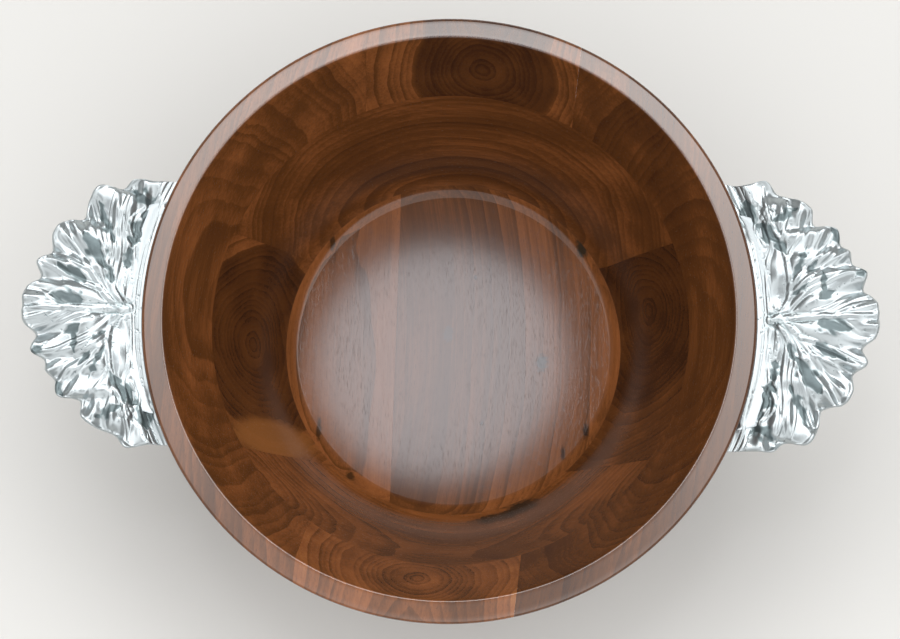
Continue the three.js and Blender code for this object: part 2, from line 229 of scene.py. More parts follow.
# The wall's foot curves up from a clear edge at the floor until it meets the side's slope. The curve's
# corner is where the line up from the floor's edge crosses the line down the side.
def coveCurve(b):
    start = np.array([b["floorRadius"], b["floor"] + b["floorDish"]])
    end = np.array([through(insideLine, b["coveTop"]), b["coveTop"]])
    above = np.array([through(insideLine, b["coveTop"] + 1), b["coveTop"] + 1])
    rise = math.tan(math.radians(b["coveStart"]))
    slope = (above - end)[1] / (above - end)[0]
    cornerRadius = (end[1] - start[1] + rise * start[0] - slope * end[0]) / (rise - slope)
    corner = [cornerRadius, start[1] + rise * (cornerRadius - start[0])]
    return cornerCurve(start, corner, end, b["coveSteps"])


# Inside of the bowl from one height up to another. The floor dishes with the square of the radius, and the
# wall's foot swells by rise (1 - rise)^3, which is 27/256 at most.
def insideCurve(b, low, high):
    dish = np.linspace(0, 1, b["floorSteps"] + 1)[:-1]
    floor = np.stack([b["floorRadius"] * dish, b["floor"] + b["floorDish"] * dish ** 2], axis=1)
    line = np.vstack([floor, coveCurve(b)])
    if high > b["coveTop"]:
        line = np.vstack([line, alongSide(insideLine, b["coveTop"], high, b["insideSteps"])[1:]])
    start = b["floor"] + b["floorDish"]
    rise = np.clip((line[:, 1] - start) / (b["coveSwellTop"] - start), 0, 1)
    line[:, 0] += b["coveSwell"] * rise * (1 - rise) ** 3 * 256 / 27
    kept = line[(line[:, 1] > low + b["sameHeight"]) & (line[:, 1] < high - b["sameHeight"])]
    ends = [[np.interp(z, line[:, 1], line[:, 0]), z] for z in (max(low, b["floor"]), high)]
    return np.vstack([ends[0], kept, ends[1]])


# Up the outside, round the outer edge, along the falling top, over the inner edge and down the inside
def rimProfile(b):
    outside, edge, top, arris, inside = b["rimSteps"]
    edgeTop = b["rimTop"] - b["rimFall"]
    fall = b["rimFall"] / b["rimWidth"]
    roundStart = [b["rimRadius"] - b["rimEdgeRound"], edgeTop + fall * b["rimEdgeRound"]]
    crown = [b["rimRadius"] - b["rimCrown"][0], b["rimTop"] - b["rimCrown"][1]]
    small = b["innerEdgeRound"]
    arrisStart = [b["hollowAtRim"] + small, b["rimTop"] - fall * small]
    arrisEnd = [through(insideLine, b["rimTop"] - small), b["rimTop"] - small]
    return np.vstack([
        alongSide(outsideLine, b["wallTop"], b["edgeBottom"], outside),
        cornerCurve([b["rimRadius"], b["edgeBottom"]], [b["rimRadius"], edgeTop], roundStart, edge)[1:],
        cornerCurve(roundStart, crown, arrisStart, top)[1:],
        cornerCurve(arrisStart, [b["hollowAtRim"], b["rimTop"]], arrisEnd, arris)[1:],
        alongSide(insideLine, arrisEnd[1], b["wallTop"], inside)[1:],
    ])


# Up the outside and down the inside
def wallProfile(b):
    return np.vstack([
        alongSide(outsideLine, b["baseTop"], b["wallTop"], b["outsideSteps"]),
        insideCurve(b, b["baseTop"], b["wallTop"])[::-1],
    ])


# Out under the recess and the foot's ring, up the cove outside it, and back in over the floor
def baseProfile(b):
    outer = b["hollowAtBase"] + b["wallAtBase"]
    recess = b["footRadius"] - b["footWidth"]
    edge = b["footEdge"]
    coveStart = [b["footRadius"] + b["footCove"], b["footHeight"] + b["footChamfer"]]
    coveCorner = [outer - b["wallAtBase"] / 2, b["footHeight"] + b["footCove"]]
    return np.vstack([
        [[0, b["footRecess"]], [recess, b["footRecess"]], [recess + b["footChamfer"], 0]],
        [[b["footRadius"] - edge, 0], [b["footRadius"], edge], [b["footRadius"], b["footHeight"]]],
        cornerCurve(coveStart, coveCorner, [outer, b["baseTop"]], b["footSteps"]),
        insideCurve(b, 0, b["baseTop"])[::-1],
    ])


# A closed [radius, height] profile turned about Z: x = r cos(a), y = r sin(a)
def turnedMesh(profile, segments):
    angle = np.arange(segments) * 2 * np.pi / segments
    radius = profile[:, 0][:, None]
    height = np.broadcast_to(profile[:, 1][:, None], (len(profile), segments))
    points = np.stack([radius * np.cos(angle), radius * np.sin(angle), height], axis=-1).reshape(-1, 3)
    row = np.arange(len(profile))[:, None]
    column = np.arange(segments)[None, :]
    nextRow = (row + 1) % len(profile)
    nextColumn = (column + 1) % segments
    corners = [row * segments + column, row * segments + nextColumn,
               nextRow * segments + nextColumn, nextRow * segments + column]
    faces = np.stack([np.broadcast_to(c, (len(profile), segments)) for c in corners], axis=-1)
    return points * millimetre, faces.reshape(-1, 4)


# Cuts a turned course down to one board, with its points on the axis made one. A cut is a point in
# millimetres and a direction that is cut away.
def cutBoard(name, course, cuts, material):
    points, faces = course
    mesh = bpy.data.meshes.new(name)
    mesh.from_pydata(points.tolist(), [], faces.tolist())
    work = bmesh.new()
    work.from_mesh(mesh)
    bmesh.ops.remove_doubles(work, verts=work.verts, dist=mergeDistance)
    for point, direction in cuts:
        parts = work.verts[:] + work.edges[:] + work.faces[:]
        bmesh.ops.bisect_plane(
            work, geom=parts, dist=cutDistance, plane_co=Vector(point) * millimetre,
            plane_no=Vector(direction), clear_outer=True)
        rim = [edge for edge in work.edges if edge.is_boundary]
        if rim:
            caps = bmesh.ops.holes_fill(work, edges=rim, sides=0)["faces"]
            bmesh.ops.triangulate(work, faces=caps)
    bmesh.ops.recalc_face_normals(work, faces=work.faces)
    work.to_mesh(mesh)
    work.free()
    piece = bpy.data.objects.new(name, mesh)
    scene.collection.objects.link(piece)
    finishMesh(piece, material)
    return piece


# Walnut's colours, each with its place from pale to dark, the two ends first
palette = {
    "pale": (0.0, "#a3703e"),
    "ink": (1.0, "#1f120a"),
    "tan": (0.22, "#87502a"),
    "brown": (0.45, "#593418"),
    "dark": (0.72, "#3a2010"),
}

# Each surface's finish as refractive index and lowest and highest roughness: plain oil, duller on the
# sides, where the grain is cut at a slant, and the rim's top rubbed up with more coats
finish = {
    "rimTop": (1.82, 0.08, 0.13),
    "side": (1.44, 0.19, 0.28),
    "floor": (1.5, 0.08, 0.13),
}
courseTurn = math.radians(bowl["rimCourseTurn"])
rimAcross = (math.cos(courseTurn), math.sin(courseTurn), 0)
rimGrain = (-math.sin(courseTurn), math.cos(courseTurn), 0)

# The middle of the floor, painted darker under the soft box's reflection so that the reflection looks grey
darkMiddle = {
    "at": (-5, -5, 14), "size": (56, 56, 30), "swell": 0, "ragged": 0.2, "cover": 0.55, "shade": "#2c1910",
}

# Boards, in millimetres and the bowl's frame. Joints are the glue lines at a board's edges, and side is
# the end that is left where the hollow cuts it in two. Pith is the middle of its tree, grain and across are
# directions from there, wander is how far the trunk strays, and bow bends the grain sideways. Heart is the
# radius where the sapwood begins and how much paler that is, and depth is the darkness from 0 to 1. Knots
# and stains have a place, half sizes along, across and up, the swell of the rings round them, how ragged
# their edge is and how much they cover.
boards = {
    "rim_board_left": {
        "course": "rim", "slot": "rim_wood", "seed": 1.3, "grain": rimGrain, "across": rimAcross,
        "joints": (None, -58), "pith": (-210, 0, 40), "ringWidth": 4.2, "wander": 14, "depth": 0.38,
    },
    # Painted shade and light: these halves of one board are darker at the back and paler at the front
    "rim_board_north": {
        "course": "rim", "slot": "rim_wood", "seed": 2.1, "grain": rimGrain, "across": rimAcross,
        "joints": (-58, 50), "side": 1, "pith": (2, 0, 104), "ringWidth": 3.0, "wander": 5,
        "heart": (37, 0.28), "depth": 0.6,
    },
    "rim_board_south": {
        "course": "rim", "slot": "rim_wood", "seed": 2.1, "grain": rimGrain, "across": rimAcross,
        "joints": (-58, 50), "side": -1, "pith": (2, 0, 104), "ringWidth": 3.0, "wander": 5,
        "heart": (37, 0.08), "depth": 0.32,
    },
    "rim_board_right": {
        "course": "rim", "slot": "rim_wood", "seed": 3.7, "grain": rimGrain, "across": rimAcross,
        "joints": (50, None), "pith": (190, 0, 60), "ringWidth": 3.6, "wander": 12, "depth": 0.46,
    },
    # A paler board, paler still as painted light on the front of the hollow
    "wall_board_south": {
        "course": "wall", "slot": "wall_wood", "seed": 4.4, "grain": (1, 0.03, 0), "across": (-0.03, 1, 0),
        "joints": (None, -66), "pith": (0, -78, 92), "ringWidth": 3.2, "wander": 9, "depth": 0.34,
        "knots": [
            {"at": (27, -92.5, 28), "size": (16, 7, 7), "swell": 4, "shade": "#1d1b14"},
            {"at": (40, -87, 26), "size": (12, 8, 9), "swell": 6, "shade": "#171914"},
        ],
    },
    "wall_board_west": {
        "course": "wall", "slot": "wall_wood", "seed": 5.2, "grain": (1, 0.1, 0), "across": (-0.1, 1, 0),
        "joints": (-66, 46), "side": -1, "pith": (0, 3.5, 50), "ringWidth": 3.1, "wander": 4,
        "heart": (51, 0.2), "depth": 0.56,
        "knots": [
            {"at": (-92, -57, 53), "size": (24, 9, 32), "swell": 0, "ragged": 0.3, "cover": 0.85,
             "shade": "#87552b"},
        ],
    },
    "wall_board_east": {
        "course": "wall", "slot": "wall_wood", "seed": 5.2, "grain": (1, 0.1, 0), "across": (-0.1, 1, 0),
        "joints": (-66, 46), "side": 1, "pith": (0, 6.5, 50), "ringWidth": 3.1, "wander": 4,
        "heart": (49, 0.14), "depth": 0.60,
    },
    "wall_board_north": {
        "course": "wall", "slot": "wall_wood", "seed": 6.9, "grain": (1, -0.04, 0), "across": (0.04, 1, 0),
        "joints": (46, None), "pith": (0, 118, -30), "ringWidth": 4.0, "wander": 10, "depth": 0.42,
    },
    "base_board_left": {
        "course": "base", "slot": "base_wood", "seed": 7.5, "grain": (0, 1, 0), "across": (1, 0, 0),
        "joints": (None, -31.5), "pith": (-62, 0, -46), "ringWidth": 3.4, "wander": 8, "depth": 0.30,
        "knots": [
            darkMiddle,
            {"at": (-71.6, -46, 15.7), "size": (7, 1.6, 4), "swell": 2, "shade": "#35210f"},
            {"at": (-53.3, -71.4, 17.8), "size": (4, 2.4, 4), "swell": 2, "shade": "#35210f"},
            {"at": (-68.3, 57, 17.6), "size": (5, 1.6, 4), "swell": 2, "shade": "#35210f"},
        ],
    },
    "base_board_middle": {
        "course": "base", "slot": "base_wood", "seed": 8.8, "grain": (0, 1, 0), "across": (1, 0, 0),
        "joints": (-31.5, 75), "pith": (-12, 0, -18), "ringWidth": 3.2, "wander": 6, "bow": -0.0012,
        "heart": (52, 0.12), "depth": 0.44,
        "knots": [
            darkMiddle,
            {"at": (-3, 8.5, 14.1), "size": (5, 3, 3), "swell": 1, "shade": "#3a2c26"},
            {"at": (48.5, -6.3, 14.4), "size": (5, 3.5, 3), "swell": 1, "shade": "#33302f"},
            {"at": (11, 40.3, 14.3), "size": (1.6, 1.2, 2), "swell": 1, "shade": "#2a170d"},
            {"at": (16.8, -40.3, 14.3), "size": (1.4, 1.0, 2), "swell": 1, "shade": "#2a170d"},
            {"at": (69, 57, 18.2), "size": (6, 4, 5), "swell": 3, "shade": "#1c2019"},
            {"at": (73, -43, 15.5), "size": (5, 1.6, 3), "swell": 2, "shade": "#23170f"},
            {"at": (61, -55.4, 15), "size": (4, 1.4, 3), "swell": 2, "shade": "#2a1a10"},
        ],
    },
    "base_board_right": {
        "course": "base", "slot": "base_wood", "seed": 9.1, "grain": (0, 1, 0), "across": (1, 0, 0),
        "joints": (75, None), "pith": (120, 0, -50), "ringWidth": 3.8, "wander": 8, "depth": 0.32,
    },
}

# The wood's figure. A pace is how fast a pattern changes in each millimetre along, across and up from the
# grain, and an amount is what it adds to the darkness.
figure = {
    "wanderPace": (0.006, 0.016, 0.016),
    "wavePace": (0.016, 0.10, 0.10),
    "waveReach": 3.0,  # millimetres that small waves move a ring
    "noiseMiddle": 0.5,
    "yearPace": 0.06,
    "yearReach": 2.6,  # rings that uneven years move the count
    "lateWood": (0.15, 0.93),  # where in a ring the darkening starts and ends
    "stepBack": (0.94, 1.0),
    "faintestYear": 0.25,
    "lateAmount": 0.13,
    "yearAmount": 0.05,
    "fibrePace": (0.02, 0.95, 0.95),  # fibres about 1 mm wide
    "fibreRoughness": 0.62,
    "fibreAmount": 0.3,
    "cloudPace": (0.008, 0.055, 0.055),
    "cloudAmount": 0.55,
    "porePace": (0.3, 3.2, 3.2),  # pores drawn 0.3 mm wide, as coarse as they need to show
    "poreLevels": (0.58, 0.68),
    "poreAmount": 0.11,
    "sapBlend": 1.5,  # millimetres each side of the sapwood's start
    "knotFade": 0.22,
    "knotEdge": (1.75, 1.0),  # where a knot's shade begins and is full, in its own half sizes
    "knotGrain": 0.5,
    "knotCover": 0.9,
    "bumpStrength": 0.035,
    "bumpDistance": 0.0001,  # metres
}


# Black walnut, edge-glued, turned, sanded and oiled. Rings are distances from the pith, so they show as
# hoops on end grain and as long figure elsewhere. Fibres and pores run along the grain, and the oil gives a
# soft gloss.
def walnut(name, board, surface):
    material, tree, output = newMaterial(name)
    grain = Vector(board["grain"]).normalized()
    across = Vector(board["across"]).normalized()
    turned = Matrix((grain, across, grain.cross(across))).transposed()
    pith = Vector(board["pith"])
    seed = board["seed"]
    middle = figure["noiseMiddle"]

    # Along, across and up from the pith, in millimetres
    place = addNode(tree, "TexCoord").outputs["Object"]
    place = addNode(tree, "VectorMath", {0: place, "Scale": 1 / millimetre}, operation="SCALE")
    place = addNode(
        tree, "Mapping", {"Vector": place, "Location": pith, "Rotation": turned.to_euler()},
        vector_type="TEXTURE")
    apart = addNode(tree, "SeparateXYZ", {0: place})
    bent = addNode(tree, "Math", {0: apart.outputs[0], 1: apart.outputs[0]}, operation="MULTIPLY")
    bent = addNode(tree, "Math", {0: bent, 1: -board.get("bow", 0)}, operation="MULTIPLY")
    bent = addNode(tree, "CombineXYZ", {1: bent})
    straight = addNode(tree, "VectorMath", {0: place, 1: bent}, operation="ADD")

    # The tree's slow wander and the small waves of its grain
    slow = addNode(tree, "VectorMath", {0: straight, 1: figure["wanderPace"]}, operation="MULTIPLY")
    slow = addNode(
        tree, "TexNoise", {"Vector": slow, "W": seed, "Scale": 1, "Detail": 2}, noise_dimensions="4D")
    slow = addNode(tree, "VectorMath", {0: slow.outputs[1], 1: [middle] * 3}, operation="SUBTRACT")
    wander = board["wander"] * 2
    slow = addNode(tree, "VectorMath", {0: slow, 1: (0, wander, wander)}, operation="MULTIPLY")
    small = addNode(tree, "VectorMath", {0: straight, 1: figure["wavePace"]}, operation="MULTIPLY")
    small = addNode(
        tree, "TexNoise", {"Vector": small, "W": seed + 20, "Scale": 1, "Detail": 3}, noise_dimensions="4D")
    small = addNode(tree, "VectorMath", {0: small.outputs[1], 1: [middle] * 3}, operation="SUBTRACT")
    wave = figure["waveReach"]
    small = addNode(tree, "VectorMath", {0: small, 1: (0, wave, wave)}, operation="MULTIPLY")
    waved = addNode(tree, "VectorMath", {0: straight, 1: slow}, operation="ADD")
    waved = addNode(tree, "VectorMath", {0: waved, 1: small}, operation="ADD")
    radius = addNode(tree, "VectorMath", {0: waved, 1: (0, 1, 1)}, operation="MULTIPLY")
    radius = addNode(tree, "VectorMath", {0: radius}, operation="LENGTH")

    # Rings swell round a knot by swell exp(-fade distance^2)
    knotMasks = []
    knotStart, knotFull = figure["knotEdge"]
    for knot in board.get("knots", []):
        centre = turned.transposed() @ (Vector(knot["at"]) - pith)
        near = addNode(tree, "VectorMath", {0: place, 1: centre}, operation="SUBTRACT")
        shrink = [1 / size for size in knot["size"]]
        near = addNode(tree, "VectorMath", {0: near, 1: shrink}, operation="MULTIPLY")
        near = addNode(tree, "VectorMath", {0: near}, operation="LENGTH")
        rough = addNode(tree, "TexNoise", {"Vector": place, "Scale": figure["knotGrain"], "Detail": 2})
        ragged = knot.get("ragged", 1)
        near = addNode(tree, "Math", {0: rough, 1: ragged, 2: near}, operation="MULTIPLY_ADD")
        squared = addNode(tree, "Math", {0: near, 1: near}, operation="MULTIPLY")
        fade = addNode(tree, "Math", {0: squared, 1: -figure["knotFade"]}, operation="MULTIPLY")
        fade = addNode(tree, "Math", {0: fade}, operation="EXPONENT")
        swell = addNode(tree, "Math", {0: fade, 1: knot["swell"]}, operation="MULTIPLY")
        radius = addNode(tree, "Math", {0: radius, 1: swell}, operation="ADD")
        cover = knot.get("cover", figure["knotCover"])
        mask = addNode(
            tree, "MapRange", {0: near, 1: knotStart, 2: knotFull, 4: cover},
            interpolation_type="SMOOTHSTEP")
        knotMasks.append((mask, knot["shade"]))

    # Rings: uneven widths, light to dark and then a sharp step back
    pace = addNode(tree, "Math", {0: radius, 1: figure["yearPace"]}, operation="MULTIPLY")
    pace = addNode(tree, "TexNoise", {"W": pace, "Scale": 1, "Detail": 2}, noise_dimensions="1D")
    ring = addNode(tree, "Math", {0: radius, 1: 1 / board["ringWidth"]}, operation="MULTIPLY")
    ring = addNode(tree, "Math", {0: pace, 1: figure["yearReach"], 2: ring}, operation="MULTIPLY_ADD")
    yearly = addNode(tree, "Math", {0: ring}, operation="FLOOR")
    yearly = addNode(tree, "TexWhiteNoise", {"W": yearly}, noise_dimensions="1D")
    within = addNode(tree, "Math", {0: ring}, operation="FRACT")
    start, end = figure["lateWood"]
    late = addNode(tree, "MapRange", {0: within, 1: start, 2: end}, interpolation_type="SMOOTHSTEP")
    start, end = figure["stepBack"]
    stepBack = addNode(tree, "MapRange", {0: within, 1: start, 2: end, 3: 1.0, 4: 0.0})
    late = addNode(tree, "Math", {0: late, 1: stepBack}, operation="MULTIPLY")
    strength = addNode(tree, "MapRange", {0: yearly, 3: figure["faintestYear"], 4: 1.0})
    late = addNode(tree, "Math", {0: late, 1: strength}, operation="MULTIPLY")
    tone = addNode(tree, "Math", {0: yearly, 1: middle}, operation="SUBTRACT")

    # Fibres, broad clouds and pores
    fibre = addNode(tree, "VectorMath", {0: straight, 1: figure["fibrePace"]}, operation="MULTIPLY")
    fibre = addNode(
        tree, "TexNoise",
        {"Vector": fibre, "W": seed, "Scale": 1, "Detail": 5, "Roughness": figure["fibreRoughness"]},
        noise_dimensions="4D")
    cloud = addNode(tree, "VectorMath", {0: waved, 1: figure["cloudPace"]}, operation="MULTIPLY")
    cloud = addNode(
        tree, "TexNoise", {"Vector": cloud, "W": seed + 5, "Scale": 1, "Detail": 3}, noise_dimensions="4D")
    pore = addNode(tree, "VectorMath", {0: place, 1: figure["porePace"]}, operation="MULTIPLY")
    pore = addNode(
        tree, "TexNoise", {"Vector": pore, "W": seed, "Scale": 1, "Detail": 2}, noise_dimensions="4D")
    start, end = figure["poreLevels"]
    pore = addNode(tree, "MapRange", {0: pore, 1: start, 2: end}, interpolation_type="SMOOTHSTEP")

    # One darkness from all of them, and the colour from it
    depth = addNode(
        tree, "Math", {0: late, 1: figure["lateAmount"], 2: board["depth"]}, operation="MULTIPLY_ADD")
    depth = addNode(tree, "Math", {0: tone, 1: figure["yearAmount"], 2: depth}, operation="MULTIPLY_ADD")
    fibre = addNode(tree, "Math", {0: fibre, 1: middle}, operation="SUBTRACT")
    depth = addNode(tree, "Math", {0: fibre, 1: figure["fibreAmount"], 2: depth}, operation="MULTIPLY_ADD")
    cloud = addNode(tree, "Math", {0: cloud, 1: middle}, operation="SUBTRACT")
    depth = addNode(tree, "Math", {0: cloud, 1: figure["cloudAmount"], 2: depth}, operation="MULTIPLY_ADD")
    depth = addNode(tree, "Math", {0: pore, 1: figure["poreAmount"], 2: depth}, operation="MULTIPLY_ADD")
    if "heart" in board:
        edge, paler = board["heart"]
        blend = figure["sapBlend"]
        sap = addNode(
            tree, "MapRange", {0: radius, 1: edge - blend, 2: edge + blend, 3: 0.0, 4: paler},
            interpolation_type="SMOOTHSTEP")
        depth = addNode(tree, "Math", {0: depth, 1: sap}, operation="SUBTRACT")
    shade = addNode(tree, "ValToRGB", {0: depth}, stops=palette.values())
    for mask, knotShade in knotMasks:
        shade = addNode(tree, "MixRGB", {0: mask, 1: shade, 2: colour(knotShade)})

    # Oil fills the wood to a soft gloss, and the pores stay a little open and duller
    index, smooth, dull = finish[surface]
    gloss = addNode(tree, "MapRange", {0: pore, 3: smooth, 4: dull})
    height = addNode(tree, "Math", {0: pore, 1: -1.0, 2: fibre}, operation="MULTIPLY_ADD")
    bump = addNode(
        tree, "Bump",
        {"Height": height, "Strength": figure["bumpStrength"], "Distance": figure["bumpDistance"]})
    shader = addNode(tree, "BsdfPrincipled", {
        "Base Color": shade, "Roughness": gloss, "IOR": index, "Normal": bump})
    tree.links.new(shader.outputs[0], output.inputs[0])
    return material


# Gives a second material to the faces that look up, by the height of their normal
def coverTop(piece, material):
    polygons = piece.data.polygons
    normals = np.empty(3 * len(polygons), np.float32)
    polygons.foreach_get("normal", normals)
    piece.data.materials.append(material)
    polygons.foreach_set("material_index", (normals[2::3] > bowl["topNormal"]).astype(np.int32))


# Each board is its course cut at its joints, and through the middle where it is one end of a board. The
# cut faces lie half a glue line from the joint.
def makeBoards():
    profiles = {"rim": rimProfile(bowl), "wall": wallProfile(bowl), "base": baseProfile(bowl)}
    courses = {course: turnedMesh(profile, bowl["segments"]) for course, profile in profiles.items()}
    jointDirections = {"rim": rimAcross, "wall": (0, 1, 0), "base": (1, 0, 0)}
    sideDirections = {"rim": rimGrain, "wall": (1, 0, 0)}
    half = bowl["glueLine"] / 2
    for name, board in boards.items():
        course = board["course"]
        direction = Vector(jointDirections[course])
        low, high = board["joints"]
        cuts = []
        if low is not None:
            cuts.append((direction * (low + half), -direction))
        if high is not None:
            cuts.append((direction * (high - half), direction))
        if "side" in board:
            cuts.append(((0, 0, 0), Vector(sideDirections[course]) * -board["side"]))
        wood = walnut(name + "_walnut", board, "floor" if course == "base" else "side")
        piece = cutBoard(name + "_wood", courses[course], cuts, wood)
        if course == "rim":
            coverTop(piece, walnut(name + "_rubbed_walnut", board, "rimTop"))
        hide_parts(name)
        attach(piece, "root")


makeBoards()
print("boards made:", len(boards))


farAway = 1e9
lineFineness = 40  # steps for each given point


# A smooth line through points at even spacing, with Catmull-Rom tangents over root-distance knots
def smoothLine(points, count):
    points = np.asarray(points, float)
    step = np.sqrt(np.linalg.norm(np.diff(points, axis=0), axis=1))
    knots = np.concatenate([[0], np.cumsum(step)])
    tangent = np.gradient(points, knots, axis=0)
    fine = np.linspace(0, knots[-1], lineFineness * len(points))
    i = np.clip(np.searchsorted(knots, fine, side="right") - 1, 0, len(points) - 2)
    span = (knots[i + 1] - knots[i])[:, None]
    t = (fine - knots[i])[:, None] / span
    line = ((2 * t ** 3 - 3 * t ** 2 + 1) * points[i] + (t ** 3 - 2 * t ** 2 + t) * span * tangent[i]
            + (3 * t ** 2 - 2 * t ** 3) * points[i + 1] + (t ** 3 - t ** 2) * span * tangent[i + 1])
    length = np.concatenate([[0], np.cumsum(np.linalg.norm(np.diff(line, axis=0), axis=1))])
    even = np.linspace(0, length[-1], count)
    return np.stack([np.interp(even, length, line[:, k]) for k in range(points.shape[1])], axis=1)


